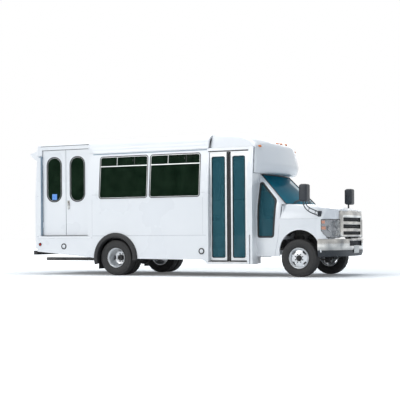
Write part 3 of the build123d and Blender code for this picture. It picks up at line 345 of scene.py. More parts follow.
def inset(points, d):
    """Loop moved inward by d along its corners' bisectors."""
    out = []
    n = len(points)
    area = sum(points[i][0] * points[(i + 1) % n][1] - points[(i + 1) % n][0] * points[i][1] for i in range(n))
    sign = 1 if area > 0 else -1
    for i in range(n):
        p = Vector(points[i])
        a = (p - Vector(points[i - 1])).normalized()
        b = (Vector(points[(i + 1) % n]) - p).normalized()
        na = Vector((-a.y, a.x)) * sign
        nb = Vector((-b.y, b.x)) * sign
        m = (na + nb)
        m = m.normalized() if m.length > 1e-6 else na
        k = max(0.35, m.dot(na))
        q = p + m * (d / k)
        out.append((q.x, q.y))
    return out


def loops_piece(bm, loops, closed=False, cap_first=False, cap_last=False):
    """Skin from a list of loops of 3-D points; closed joins the last loop to the first."""
    rows = [[bm.verts.new(p) for p in loop] for loop in loops]
    pairs = list(zip(rows, rows[1:])) + ([(rows[-1], rows[0])] if closed else [])
    for low, high in pairs:
        n = len(low)
        for i in range(n):
            j = (i + 1) % n
            bm.faces.new((low[i], low[j], high[j], high[i]))
    if cap_first:
        bm.faces.new(rows[0])
    if cap_last:
        bm.faces.new(rows[-1])
    return rows


def right_wall(u, v, d):
    """Point on the right wall's outer face at X u and Z v, d outside it."""
    lean = LEAN * max(0.0, v - BELT_Z) / (WALL_TOP - BELT_Z)
    return (u, -(BODY_HALF - lean) - d, v)


def left_wall(u, v, d):
    x, y, z = right_wall(u, v, d)
    return (x, -y, z)


def leaf_plane(u, v, d):
    return (u, -1.133 - d, v)


def rear_plane(u, v, d):
    return (-3.337 - d, u, v)


def ring(bm, place, outer, width, high, low=0.0, soft=0.25):
    """Frame with a rounded section that follows a loop: width inward, from depth low to high."""
    stations = ((0.0, low), (0.0, high - (high - low) * soft), (0.12, high), (0.88, high),
                (1.0, high - (high - low) * soft), (1.0, low))
    loops = []
    for t, d in stations:
        loops.append([place(u, v, d) for u, v in inset(outer, width * t)] if t else
                     [place(u, v, d) for u, v in outer])
    loops_piece(bm, loops, closed=True)


def plate(bm, place, loop, low, high, edge=0.002):
    """Plate that fills a loop, with a small chamfer at its outer face."""
    loops = [[place(u, v, low) for u, v in loop], [place(u, v, high - edge) for u, v in loop],
             [place(u, v, high) for u, v in inset(loop, edge)]]
    loops_piece(bm, loops, cap_first=True, cap_last=True)


def box(bm, x, y, z, bevel=0.004, segments=2):
    """Block with rounded edges."""
    made = bmesh.ops.create_cube(bm, size=1.0)
    size = Vector((abs(x[1] - x[0]), abs(y[1] - y[0]), abs(z[1] - z[0])))
    mid = Vector(((x[0] + x[1]) / 2, (y[0] + y[1]) / 2, (z[0] + z[1]) / 2))
    bmesh.ops.scale(bm, vec=size, verts=made["verts"])
    bmesh.ops.translate(bm, vec=mid, verts=made["verts"])
    if bevel:
        edges = list({e for v in made["verts"] for e in v.link_edges})
        bmesh.ops.bevel(bm, geom=edges, offset=min(bevel, min(size) * 0.45), segments=segments, affect="EDGES",
                        profile=0.5)


def lathe(bm, profile, centre, axis="Y", n=64, closed=False):
    """Skin turned about an axis through centre, from (radius, distance along the axis) points."""
    loops = []
    for r, t in profile:
        loop = []
        for i in range(n):
            a = 2 * math.pi * i / n
            c, s = r * math.cos(a), r * math.sin(a)
            off = {"Y": (c, t, s), "X": (t, c, s), "Z": (c, s, t)}[axis]
            loop.append(tuple(centre[k] + off[k] for k in range(3)))
        loops.append(loop)
    caps = not closed
    loops_piece(bm, loops, closed=closed, cap_first=caps, cap_last=caps)


def tube(name, points, radius, mat, body="bus_body", order=3, closed=False):
    """Smooth tube through control points."""
    curve = bpy.data.curves.new(name, "CURVE")
    curve.dimensions = "3D"
    curve.bevel_depth = radius
    curve.bevel_resolution = 3
    curve.use_fill_caps = True
    spline = curve.splines.new("NURBS" if order > 2 else "POLY")
    spline.points.add(len(points) - 1)
    for p, q in zip(spline.points, points):
        p.co = (*q, 1.0)
    if order > 2:
        spline.order_u = order
        spline.use_endpoint_u = True
        spline.resolution_u = 6
    spline.use_cyclic_u = closed
    curve.materials.append(MATS[mat])
    obj = bpy.data.objects.new(name, curve)
    SCENE.objects.link(obj)
    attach(obj, body)
    return obj


def along(bm, plan, section, closed_section=True):
    """Section of (outward, z) points carried along an open line in plan."""
    n = len(plan)
    rows = []
    for i, (x, y) in enumerate(plan):
        a = Vector(plan[max(0, i - 1)])
        b = Vector(plan[min(n - 1, i + 1)])
        t = (b - a).normalized()
        out = Vector((t.y, -t.x))
        rows.append([bm.verts.new((x + out.x * d, y + out.y * d, z)) for d, z in section])
    m = len(section)
    last = m if closed_section else m - 1
    for low, high in zip(rows, rows[1:]):
        for i in range(last):
            j = (i + 1) % m
            bm.faces.new((low[i], low[j], high[j], high[i]))
    if closed_section:
        bm.faces.new(rows[0])
        bm.faces.new(rows[-1])


def softened(node, width, name=None, angle=28.0, segments=3, mat=None):
    """Copy of a CAD node with its triangles merged and its edges rounded."""
    src = NODES[node]
    bm = bmesh.new()
    bm.from_mesh(src.data)
    bmesh.ops.remove_doubles(bm, verts=bm.verts, dist=1e-5)
    bmesh.ops.dissolve_limit(bm, angle_limit=math.radians(1.0), verts=bm.verts, edges=bm.edges)
    edges = [e for e in bm.edges if len(e.link_faces) == 2 and e.calc_face_angle(0) > math.radians(angle)]
    bmesh.ops.bevel(bm, geom=edges, offset=width, segments=segments, affect="EDGES", profile=0.5,
                    clamp_overlap=True)
    obj = finish_mesh(name or node + "_skin", bm, mat or SLOT_OF[node], src["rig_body"], 40.0)
    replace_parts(obj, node)
    return obj


def bezier(p0, p1, p2, n):
    """Points on a quadratic curve."""
    out = []
    for i in range(n + 1):
        t = i / n
        out.append(tuple((1 - t) ** 2 * a + 2 * t * (1 - t) * b + t * t * c for a, b, c in zip(p0, p1, p2)))
    return out


# Windows of the coach body
def window_unit(bm_frame, bm_metal, bm_glass, place, loop):
    """Rubber gasket, inner frame and pane for one opening."""
    ring(bm_frame, place, loop, 0.019, 0.007, -0.012)
    inner = inset(loop, 0.018)
    ring(bm_metal, place, inner, 0.009, 0.001, -0.012)
    plate(bm_glass, place, inset(inner, 0.008), -0.012, -0.006, 0.0005)


def bar(bm, place, u, v, low, high, edge=0.003):
    """Flat bar on a wall, between two u and two v."""
    plate(bm, place, [(u[0], v[0]), (u[1], v[0]), (u[1], v[1]), (u[0], v[1])], low, high, edge)


SILL_Z, HEAD_Z, CORNER = 1.61, 2.51, 0.065
RIGHT_SPANS = ((fx(-4.42), fx(-3.245)), (fx(-3.205), fx(-2.03)))
LEFT_FIRST, LEFT_LAST = -3.207, 1.103
LEFT_WIDTH = (LEFT_LAST - LEFT_FIRST - 0.12) / 4
LEFT_SPANS = tuple((LEFT_FIRST + i * (LEFT_WIDTH + 0.04), LEFT_FIRST + i * (LEFT_WIDTH + 0.04) + LEFT_WIDTH)
                   for i in range(4))
TRANSOM_Z = 2.295


def side_windows():
    rubber, metal, glass = bmesh.new(), bmesh.new(), bmesh.new()
    for place, spans in ((right_wall, RIGHT_SPANS), (left_wall, LEFT_SPANS)):
        for u0, u1 in spans:
            loop = rounded(u0, u1, SILL_Z, HEAD_Z, CORNER)
            window_unit(rubber, metal, glass, place, loop)
            bar(metal, place, (u0 + 0.024, u1 - 0.024), (TRANSOM_Z - 0.009, TRANSOM_Z + 0.009), -0.010, 0.001)
            third = (u1 - u0) * 0.36
            bar(metal, place, (u0 + third - 0.005, u0 + third + 0.005), (TRANSOM_Z + 0.012, HEAD_Z - 0.026),
                -0.010, -0.001)
            bar(rubber, place, (u0 + 2 * third - 0.012, u0 + 2 * third + 0.004),
                (TRANSOM_Z + 0.012, HEAD_Z - 0.026), -0.010, -0.003)
            bar(rubber, place, (u0 + 2 * third - 0.05, u0 + 2 * third - 0.035),
                (TRANSOM_Z + 0.09, TRANSOM_Z + 0.13), -0.008, 0.001)
    loop = rounded(-0.70, 0.70, 1.56, 2.38, 0.08)
    window_unit(rubber, metal, glass, rear_plane, loop)
    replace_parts(finish_mesh("window_gaskets", rubber, "rubber"), "side_windows")
    finish_mesh("window_frames", metal, "aluminium")
    finish_mesh("window_panes", glass, "tint")


side_windows()


# Walls: seams, drip rails with painted shadow strips under them, and lights
def wall_trim():
    seam, rail, metal, under = bmesh.new(), bmesh.new(), bmesh.new(), bmesh.new()
    lift = (fx(-5.90), fx(-4.70))
    for place, x1, right in ((right_wall, fx(-1.90), True), (left_wall, 1.24, False)):
        spans = ((-3.292, lift[0] - 0.05), (lift[1] + 0.11, x1)) if right else ((-3.292, x1),)
        for u0, u1 in spans:
            bar(seam, place, (u0, u1), (0.831, 0.837), -0.004, 0.0012, 0.0005)
            bar(rail, place, (u0, u1), (WALL_TOP - 0.016, WALL_TOP - 0.002), -0.002, 0.012)
            # Blue-grey strip just under each drip rail: painted shadow of the rail.
            bar(under, place, (u0, u1), (WALL_TOP - 0.036, WALL_TOP - 0.017), -0.004, 0.004, 0.002)
        bar(seam, place, (-3.262, -3.259), (0.52, 2.58), -0.004, 0.001, 0.0004)
        for u in ((lift[1] + 0.11, x1 - 0.07) if right else (-1.9, 0.4)):
            bar(seam, place, (u, u + 0.003), (0.84, 1.60), -0.004, 0.0008, 0.0003)
    for u0, u1, z in ((fx(-4.585), fx(-4.44), BELT_Z), (fx(-2.01), fx(-1.92), BELT_Z), (-3.292, fx(-5.96), BELT_Z)):
        bar(seam, right_wall, (u0, u1), (z - 0.002, z + 0.002), -0.004, 0.0008, 0.0003)
    finish_mesh("wall_seams", seam, "seam")
    finish_mesh("drip_rails", rail, "white_paint")
    finish_mesh("drip_rail_painted_shadows", under, "painted_shade")
    for v0 in (0.80,):
        bar(metal, right_wall, (lift[0] - 0.045, lift[1] + 0.10), (v0 - 0.018, v0 + 0.018), -0.02, 0.016)
    finish_mesh("lift_sill", metal, "white_paint")


def round_light(name, place, u, v, radius, lens):
    """Round lamp in a black grommet with a lens that has moulded rings and a cross bar."""
    grommet, cover = bmesh.new(), bmesh.new()
    circle = [(u + radius * math.cos(2 * math.pi * i / 40), v + radius * math.sin(2 * math.pi * i / 40))
              for i in range(40)]
    ring(grommet, place, circle, radius * 0.34, 0.012, -0.01)
    loops = []
    for share, d in ((0.69, -0.008), (0.69, 0.003), (0.60, 0.008), (0.55, 0.006), (0.40, 0.010), (0.33, 0.008),
                     (0.12, 0.012)):
        loops.append([place(u + (a - u) * share, v + (b - v) * share, d) for a, b in circle])
    loops_piece(cover, loops, cap_first=True, cap_last=True)
    bar(cover, place, (u - 0.004, u + 0.004), (v - radius * 0.6, v + radius * 0.6), 0.004, 0.0135, 0.001)
    finish_mesh(name + "_grommet", grommet, "rubber")
    finish_mesh(name + "_lens", cover, lens)


wall_trim()
round_light("courtesy_rear", right_wall, fx(-5.304), 0.612, 0.064, "white_panel")
round_light("courtesy_front", right_wall, fx(-2.00), 0.512, 0.064, "white_panel")
round_light("marker_rear", right_wall, fx(-5.917), 0.655, 0.036, "lens_red")
round_light("marker_left", left_wall, fx(-5.917), 0.655, 0.036, "lens_red")
round_light("marker_mid", left_wall, fx(-1.9), 0.512, 0.036, "lens_amber")


# Lift doors
def stadium(u0, u1, v0, v1, r, n=9):
    return rounded(u0, u1, v0, v1, r, n)


def spread(loop, u0, u1, v0, v1):
    """Outer rectangle with as many points as an inner loop, a corner on each quarter's middle."""
    cu, cv = (u0 + u1) / 2, (v0 + v1) / 2
    out = []
    per = len(loop) // 4
    for i, (u, v) in enumerate(loop):
        q, k = divmod(i, per)
        mid = per // 2
        su, sv = ((1, 1), (-1, 1), (-1, -1), (1, -1))[q]
        corner = (u1 if su > 0 else u0, v1 if sv > 0 else v0)
        first_vertical = (su, sv) in ((1, 1), (-1, -1))
        if k == mid:
            out.append(corner)
        elif (k < mid) == first_vertical:
            edge_v = cv + (corner[1] - cv) * (0.55 + 0.45 * (k / mid if k < mid else (per - 1 - k) / mid))
            out.append((corner[0], edge_v))
        else:
            edge_u = cu + (corner[0] - cu) * (0.55 + 0.45 * (k / mid if k < mid else (per - 1 - k) / mid))
            out.append((edge_u, corner[1]))
    return out


def lift_leaf(name, node, body, u0, u1, glass, hinge_u):
    z0, z1 = 0.846, 2.692
    loop = stadium(glass[0], glass[1], 1.58, 2.537, 0.170)
    outer = spread(loop, u0, u1, z0, z1)
    skin = bmesh.new()
    thick = 0.040
    stations = [(outer, -thick), (outer, -0.004), (inset(outer, 0.004), 0.0), (inset(loop, -0.004), 0.0),
                (loop, -0.004), (loop, -thick)]
    loops_piece(skin, [[leaf_plane(u, v, d) for u, v in pts] for pts, d in stations], closed=True)
    for z in (1.08, 2.45):
        lathe(skin, [(0.0045, 0), (0.005, 0.001), (0.005, 0.059), (0.0045, 0.06)], (hinge_u, -1.133, z), "Z", 16)
    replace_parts(finish_mesh(name + "_skin", skin, "white_paint", body), node)
    rubber, metal, pane = bmesh.new(), bmesh.new(), bmesh.new()
    ring(rubber, leaf_plane, inset(loop, -0.012), 0.024, 0.006, -0.004)
    ring(metal, leaf_plane, inset(loop, 0.011), 0.006, 0.001, -0.014)
    plate(pane, leaf_plane, inset(loop, 0.002), -0.020, -0.012, 0.0005)
    finish_mesh(name + "_gasket", rubber, "rubber", body)
    finish_mesh(name + "_frame", metal, "aluminium", body)
    finish_mesh(name + "_pane", pane, "tint", body)


LIFT_MID = fx(-5.30)
lift_leaf("lift_rear", "lift_door_rear", "lift_leaf_rear", fx(-5.894), LIFT_MID - 0.005,
          (fx(-5.7845), fx(-5.4145)), fx(-5.894))
lift_leaf("lift_front", "lift_door_front", "lift_leaf_front", LIFT_MID + 0.005, fx(-4.706),
          (fx(-5.1905), fx(-4.8205)), fx(-4.706))


def lift_details():
    seal = bmesh.new()
    box(seal, (LIFT_MID - 0.0045, LIFT_MID + 0.001), (-1.131, -1.10), (0.85, 2.69), 0.001)
    finish_mesh("lift_meeting_seal", seal, "seam", "lift_leaf_rear")
    back = bmesh.new()
    box(back, (fx(-5.262), fx(-5.205)), (-1.139, -1.132), (1.42, 1.60), 0.006, 3)
    lathe(back, [(0.012, -0.001), (0.012, -0.012), (0.009, -0.016)], (fx(-5.245), -1.139, 1.555), "Y", 24)
    finish_mesh("lift_handle_plate", back, "chrome", "lift_leaf_front")
    points = [(fx(-5.245), -1.145, 1.575), (fx(-5.245), -1.172, 1.585), (fx(-5.225), -1.176, 1.56),
              (fx(-5.212), -1.172, 1.49), (fx(-5.218), -1.168, 1.43), (fx(-5.225), -1.160, 1.40)]
    tube("lift_handle", points, 0.007, "chrome", "lift_leaf_front")
    sticker = bmesh.new()
    bar(sticker, leaf_plane, (fx(-5.665), fx(-5.54)), (1.62, 1.745), -0.0125, -0.0105, 0.0004)
    finish_mesh("blank_blue_sticker", sticker, "blue_film", "lift_leaf_rear")
    frame_bm, gutter = bmesh.new(), bmesh.new()
    for u0, u1 in ((fx(-5.945), fx(-5.902)), (fx(-4.698), fx(-4.655))):
        bar(frame_bm, right_wall, (u0, u1), (0.842, 2.58), -0.03, 0.006)
    finish_mesh("lift_jambs", frame_bm, "white_paint")
    # Thin blue-grey sheet on the rear jamb's inner face: painted shade in the door's recess.
    painted_shade = bmesh.new()
    box(painted_shade, (fx(-5.9018), fx(-5.8985)), (-1.214, -1.136), (0.85, 2.57), 0.001)
    finish_mesh("lift_painted_shade", painted_shade, "painted_shade")
    box(gutter, (fx(-5.93), fx(-4.70)), (-1.170, -1.148), (2.775, 2.787), 0.003)
    finish_mesh("lift_gutter", gutter, "rubber")
    seals = bmesh.new()
    box(seals, (fx(-5.900), fx(-5.8955)), (-1.130, -1.095), (0.85, 2.69), 0.001)
    box(seals, (fx(-4.7045), fx(-4.700)), (-1.130, -1.095), (0.85, 2.69), 0.001)
    box(seals, (fx(-5.898), fx(-4.702)), (-1.128, -1.095), (2.6925, 2.6995), 0.001)
    finish_mesh("lift_frame_seals", seals, "rubber")


lift_details()


# Entrance doors
def entrance_doors():
    mid = fx(-1.424)
    rear = (fx(-1.844), mid - 0.005)
    front = (mid + 0.005, fx(-1.004))
    z0, z1 = 0.304, 2.502
    for name, body, (u0, u1), (g0, g1), seal_u in (
            ("entrance_rear", "entrance_leaf_rear", rear, (rear[0] + 0.042, rear[1] - 0.080), (rear[1] - 0.042, rear[1])),
            ("entrance_front", "entrance_leaf_front", front, (front[0] + 0.078, front[1] - 0.064),
             (front[0], front[0] + 0.040))):
        gasket, seal, edge = bmesh.new(), bmesh.new(), bmesh.new()
        loop = rounded(g0 - 0.004, g1 + 0.004, 0.376, 2.414, 0.040)
        ring(gasket, leaf_plane, loop, 0.012, 0.003, -0.012)
        finish_mesh(name + "_gasket", gasket, "rubber", body)
        bar(seal, leaf_plane, (seal_u[0], seal_u[1]), (z0 + 0.004, z1 - 0.004), -0.002, 0.006, 0.004)
        rib = (seal_u[0] + seal_u[1]) / 2
        bar(seal, leaf_plane, (rib - 0.003, rib + 0.003), (z0 + 0.008, z1 - 0.008), 0.005, 0.010, 0.002)
        bar(seal, leaf_plane, (u0 + 0.006, u1 - 0.006), (z0 + 0.001, z0 + 0.022), -0.002, 0.005, 0.002)
        finish_mesh(name + "_seals", seal, "rubber", body)
        for v0, v1 in ((z0 + 0.028, z0 + 0.032), (z1 - 0.030, z1 - 0.026)):
            bar(edge, leaf_plane, (u0 + 0.01, u1 - 0.05), (v0, v1), -0.001, 0.001, 0.0004)
        finish_mesh(name + "_joints", edge, "seam", body)
    trim = bmesh.new()
    box(trim, (fx(-1.849), fx(-0.999)), (-1.216, -1.135), (0.262, 0.294), 0.004)
    finish_mesh("entrance_sill_edge", trim, "aluminium")
    head = bmesh.new()
    box(head, (fx(-1.87), fx(-0.985)), (-1.158, -1.139), (2.512, 2.526), 0.003)
    finish_mesh("entrance_head_gutter", head, "rubber")
    step = bmesh.new()
    for y, z in ((-0.81, 0.295), (-0.535, 0.562)):
        box(step, (fx(-1.83), fx(-1.02)), (y - 0.29, y - 0.25), (z, z + 0.004), 0.001)
    finish_mesh("step_nosings", step, "chrome")
    for u, body in ((fx(-1.78), "entrance_leaf_rear"), (fx(-1.09), "entrance_leaf_front")):
        tube("door_rail_" + body[-5:].strip("_"), [(u, -1.092, 0.62), (u, -1.05, 0.66), (u, -1.045, 1.0),
             (u, -1.045, 1.4), (u, -1.05, 1.72), (u, -1.092, 1.76)], 0.012, "aluminium", body)


entrance_doors()


# Wheels
R_TYRE = 0.372
R_RIM = 0.205


def tyre_piece(name, x, y, body, out):
    """Tyre with rounded shoulders, four grooves and cut shoulder blocks; out is not used."""
    half = 0.1125
    bm = bmesh.new()
    side = [(R_RIM, 0.086), (0.214, 0.0905), (0.224, 0.0965), (0.240, 0.101), (0.246, 0.1045), (0.262, 0.1090),
            (0.276, 0.1118), (0.292, half), (0.308, 0.1115), (0.311, 0.1122), (0.315, 0.1095), (0.332, 0.1055),
            (0.350, 0.1000), (0.362, 0.0945)]
    tread = [(0.3675, 0.089), (0.3695, 0.080), (0.3705, 0.060), (0.3635, 0.0585), (0.3635, 0.0515),
             (0.3715, 0.050), (0.3719, 0.022), (0.3640, 0.0205), (0.3640, 0.0135), (0.3719, 0.012)]
    half_outline = side + tread
    outline = [(r, y + w) for r, w in half_outline] + [(r, y - w) for r, w in reversed(half_outline)]
    inner = [(R_RIM, y - 0.086), (R_RIM, y + 0.086)]
    lathe(bm, outline, (x, 0.0, R_TYRE), "Y", 96, closed=True)
    bm.verts.ensure_lookup_table()
    n = 96
    rows = len(outline)
    shoulder = [i for i, (r, w) in enumerate(half_outline) if (r, w) in ((0.3675, 0.089), (0.3695, 0.080))]
    for idx in shoulder:
        for row in (idx, rows - 1 - idx):
            for k in range(n):
                if k % 4 == 0:
                    v = bm.verts[row * n + k]
                    d = Vector((v.co.x - x, 0, v.co.z - R_TYRE))
                    v.co -= d.normalized() * 0.0065
    finish_mesh(name, bm, "tyre", body, 30.0)
    del inner, out


def slot_cutter(x, y, radius, angle, length, width, depth):
    """Stadium-shaped cutter through a disc, along the rim's direction."""
    bm = bmesh.new()
    pts = []
    for i in range(24):
        a = 2 * math.pi * i / 24
        c, s = math.cos(a), math.sin(a)
        u = (length - width) / 2 * (1 if c > 0 else -1) + width / 2 * c
        pts.append((u, width / 2 * s))
    loops = []
    for t in (-depth, depth):
        loop = []
        for u, v in pts:
            a = angle + u / radius
            r = radius + v
            loop.append((x + r * math.cos(a), y + t, R_TYRE + r * math.sin(a)))
        loops.append(loop)
    loops_piece(bm, loops, cap_first=True, cap_last=True)
    return bm


def cut(obj, cutter_bm):
    """Take a closed mesh out of an object's mesh."""
    bmesh.ops.recalc_face_normals(cutter_bm, faces=cutter_bm.faces)
    mesh = bpy.data.meshes.new("cutter")
    cutter_bm.to_mesh(mesh)
    cutter_bm.free()
    tool = bpy.data.objects.new("cutter", mesh)
    SCENE.objects.link(tool)
    mod = obj.modifiers.new("cut", "BOOLEAN")
    mod.operation = "DIFFERENCE"
    mod.solver = "EXACT"
    mod.object = tool
    bpy.context.view_layer.update()
    deps = bpy.context.evaluated_depsgraph_get()
    done = bpy.data.meshes.new_from_object(obj.evaluated_get(deps))
    obj.modifiers.remove(mod)
    old = obj.data
    obj.data = done
    bpy.data.meshes.remove(old)
    bpy.data.objects.remove(tool)
    bpy.data.meshes.remove(mesh)
    obj.data.set_sharp_from_angle(angle=math.radians(35.0))


def rim_piece(name, x, y, sign, body, disc, hub, slots, turn):
    """Steel wheel: rolled barrel, pressed disc with four slots, hub, bolts; sign is the outward side."""
    bm = bmesh.new()
    lip = 0.1005
    inner = 0.193
    barrel = [(R_RIM, -lip), (R_RIM, lip - 0.004), (R_RIM - 0.002, lip), (R_RIM - 0.005, lip), (inner + 0.002, lip - 0.006),
              (inner + 0.001, lip - 0.018), (inner - 0.010, lip - 0.030), (inner - 0.014, lip - 0.055)]
    back = [(r - 0.003, t) for r, t in reversed(barrel[4:])] + [(R_RIM - 0.005, -lip + 0.001)]
    outline = [(r, y + sign * t) for r, t in barrel] + [(inner - 0.017, y - sign * lip * 0.6)]
    outline += [(inner - 0.004, y - sign * lip * 0.9), (R_RIM - 0.004, y - sign * lip)]
    lathe(bm, outline[:1] + outline[1:], (x, 0.0, R_TYRE), "Y", 96, closed=True)
    finish_mesh(name + "_barrel", bm, "rim", body)
    del back
    bm = bmesh.new()
    outer = [(r, y + sign * t) for r, t in disc]
    under = [(r, y + sign * (t - 0.006)) for r, t in reversed(disc)]
    lathe(bm, outer + under, (x, 0.0, R_TYRE), "Y", 96, closed=True)
    obj = finish_mesh(name + "_disc", bm, "rim", body)
    for k in range(4):
        a = turn + k * math.pi / 2
        cut(obj, slot_cutter(x, y + sign * slots[1], slots[0], a, 0.094, 0.034, 0.08))
    bm = bmesh.new()
    cap = [(0.0001, hub), (0.020, hub), (0.034, hub - 0.004), (0.040, hub - 0.012), (0.043, hub - 0.022),
           (0.052, hub - 0.026), (0.058, hub - 0.034), (0.060, hub - 0.055), (0.060, hub - 0.10)]
    lathe(bm, [(r, y + sign * t) for r, t in cap], (x, 0.0, R_TYRE), "Y", 48)
    finish_mesh(name + "_hub", bm, "hub_metal", body)
    bm = bmesh.new()
    face = disc[-1][1]
    for k in range(8):
        a = turn + (k + 0.5) * math.pi / 4
        cx, cz = x + 0.0825 * math.cos(a), R_TYRE + 0.0825 * math.sin(a)
        nut = [(0.0125, face - 0.002), (0.0125, face + 0.002), (0.0105, face + 0.004), (0.0105, face + 0.020),
               (0.0085, face + 0.024), (0.006, face + 0.0245), (0.006, face + 0.033), (0.004, face + 0.035)]
        lathe(bm, [(r, y + sign * t) for r, t in nut], (cx, 0.0, cz), "Y", 6)
    # The nuts' near-black colour is painted shade.
    finish_mesh(name + "_nuts", bm, "nut_metal_painted_shade", body, 20.0)


FRONT_DISC = [(0.180, 0.030), (0.176, 0.044), (0.168, 0.055), (0.155, 0.064), (0.138, 0.070), (0.122, 0.073),
              (0.113, 0.079), (0.106, 0.082), (0.058, 0.082)]
REAR_DISC = [(0.180, -0.030), (0.176, -0.050), (0.168, -0.075), (0.158, -0.100), (0.146, -0.116), (0.130, -0.123),
             (0.118, -0.124), (0.112, -0.1255), (0.058, -0.1255)]
INNER_DISC = [(0.180, 0.028), (0.170, 0.070), (0.150, 0.110), (0.130, 0.1255), (0.058, 0.1255)]
for side_name, s in (("right", -1), ("left", 1)):
    body = "front_wheel_" + side_name
    y = s * 0.880
    tyre_piece("front_tyre_" + side_name + "_tread", FA, y, body, s)
    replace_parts(bpy.data.objects["front_tyre_" + side_name + "_tread"], "front_tyre_" + side_name)
    rim_piece("front_wheel_" + side_name, FA, y, s, body, FRONT_DISC, 0.132, (0.150, 0.066), math.radians(45))
    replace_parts(bpy.data.objects["front_wheel_" + side_name + "_barrel"], "front_rim_" + side_name)
    body = "rear_wheels_" + side_name
    y = s * 1.102
    tyre_piece("rear_outer_tyre_" + side_name, RA, y, body, s)
    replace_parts(bpy.data.objects["rear_outer_tyre_" + side_name], "rear_tyres_" + side_name)
    tyre_piece("rear_inner_tyre_" + side_name, RA, s * 0.832, body, s)
    rim_piece("rear_wheel_" + side_name, RA, y, s, body, REAR_DISC, -0.040, (0.149, -0.112), 0.0)
    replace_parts(bpy.data.objects["rear_wheel_" + side_name + "_barrel"], "rear_rims_" + side_name)
    bm = bmesh.new()
    outer = [(r, s * (0.832 + t)) for r, t in INNER_DISC]
    under = [(r, s * (0.832 + t - 0.006)) for r, t in reversed(INNER_DISC)]
    lathe(bm, outer + under, (RA, 0.0, R_TYRE), "Y", 64, closed=True)
    tube_in = [(R_RIM, 0.0995), (0.193, 0.0995), (0.190, 0.03), (0.190, -0.03), (0.193, -0.0995), (R_RIM, -0.0995)]
    lathe(bm, [(r, s * (0.832 + t)) for r, t in tube_in], (RA, 0.0, R_TYRE), "Y", 64, closed=True)
    finish_mesh("rear_inner_wheel_" + side_name, bm, "rim", body)


# Wheel flares and mud flaps
def wheel_flares():
    bm = bmesh.new()
    for s in (-1, 1):
        loops = []
        section = [(0.425, -0.060), (0.428, 0.036), (0.436, 0.046), (0.450, 0.050), (0.480, 0.048), (0.505, 0.040),
                   (0.518, 0.030), (0.524, 0.014), (0.524, -0.002)]
        for i in range(57):
            a = math.radians(-6 + 202 * i / 56)
            loops.append([(RA + r * math.cos(a), s * (BODY_HALF + d), R_TYRE + r * math.sin(a)) for r, d in section])
        loops_piece(bm, loops, cap_first=True, cap_last=True)
    obj = finish_mesh("wheel_flare_rubbers", bm, "rubber")
    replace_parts(obj, "wheel_flares")
    bm = bmesh.new()
    for s in (-1, 1):
        box(bm, (RA - 0.432, RA - 0.424), (s * 0.76, s * 1.19), (0.138, 0.783), 0.002)
        for z in (0.20, 0.30, 0.40):
            box(bm, (RA - 0.4235, RA - 0.4205), (s * 0.79, s * 1.16), (z, z + 0.006), 0.001)
    finish_mesh("mud_flaps", bm, "rubber")


wheel_flares()


# Cab
def cab_y(z):
    """Half width of the cab's side at a height."""
    if z < 1.143:
        return 0.985 + 0.015 * (z - 0.403) / 0.74
    if z < 1.40:
        return 1.0 - 0.015 * (z - 1.143) / 0.257
    return 0.985 - 0.289 * (z - 1.40)


def cab_right(u, v, d):
    return (u, -cab_y(v) - d, v)


def cab_left(u, v, d):
    return (u, cab_y(v) + d, v)


def round_poly(points, r, n=5):
    """Polygon with its corners rounded by quadratic curves."""
    out = []
    m = len(points)
    for i in range(m):
        p = Vector(points[i])
        a = (Vector(points[i - 1]) - p)
        b = (Vector(points[(i + 1) % m]) - p)
        k = min(r, a.length * 0.45, b.length * 0.45)
        start, end = p + a.normalized() * k, p + b.normalized() * k
        for q in bezier(start, p, end, n):
            out.append(q)
    return out


def dense(loop, step=0.05):
    """Closed loop with points added so that no run is longer than step."""
    out = []
    n = len(loop)
    for i in range(n):
        a, b = Vector(loop[i]), Vector(loop[(i + 1) % n])
        k = max(1, int((b - a).length / step))
        for j in range(k):
            q = a.lerp(b, j / k)
            out.append((q.x, q.y))
    return out


def smooth_line(points, rounds=2):
    """Open line with its corners cut, ends kept."""
    for _ in range(rounds):
        out = [points[0]]
        for a, b in zip(points, points[1:]):
            out.append(tuple(0.75 * p + 0.25 * q for p, q in zip(a, b)))
            out.append(tuple(0.25 * p + 0.75 * q for p, q in zip(a, b)))
        out.append(points[-1])
        points = out
    return points


def slab(bm, top, thick, nu, nv):
    """Closed sheet over a grid: top(u, v) gives its face, thick the depth below."""
    grid = [[Vector(top(i / nu, j / nv)) for j in range(nv + 1)] for i in range(nu + 1)]
    up = [[bm.verts.new(p) for p in row] for row in grid]
    down = [[bm.verts.new(p + Vector(thick)) for p in row] for row in grid]
    for i in range(nu):
        for j in range(nv):
            bm.faces.new((up[i][j], up[i + 1][j], up[i + 1][j + 1], up[i][j + 1]))
            bm.faces.new((down[i][j], down[i][j + 1], down[i + 1][j + 1], down[i + 1][j]))
    for i in range(nu):
        bm.faces.new((up[i][0], down[i][0], down[i + 1][0], up[i + 1][0]))
        bm.faces.new((up[i][nv], up[i + 1][nv], down[i + 1][nv], down[i][nv]))
    for j in range(nv):
        bm.faces.new((up[0][j], up[0][j + 1], down[0][j + 1], down[0][j]))
        bm.faces.new((up[nu][j], down[nu][j], down[nu][j + 1], up[nu][j + 1]))


def step01(a, b, x):
    """Smooth step from 0 at a to 1 at b."""
    t = min(1.0, max(0.0, (x - a) / (b - a)))
    return t * t * (3 - 2 * t)


HOOD_REAR = -0.207


def hood_front(y):
    """How far the hood's front edge stands before the front axle."""
    return 0.768 - 0.13 * (abs(y) / 0.638) ** 2.2


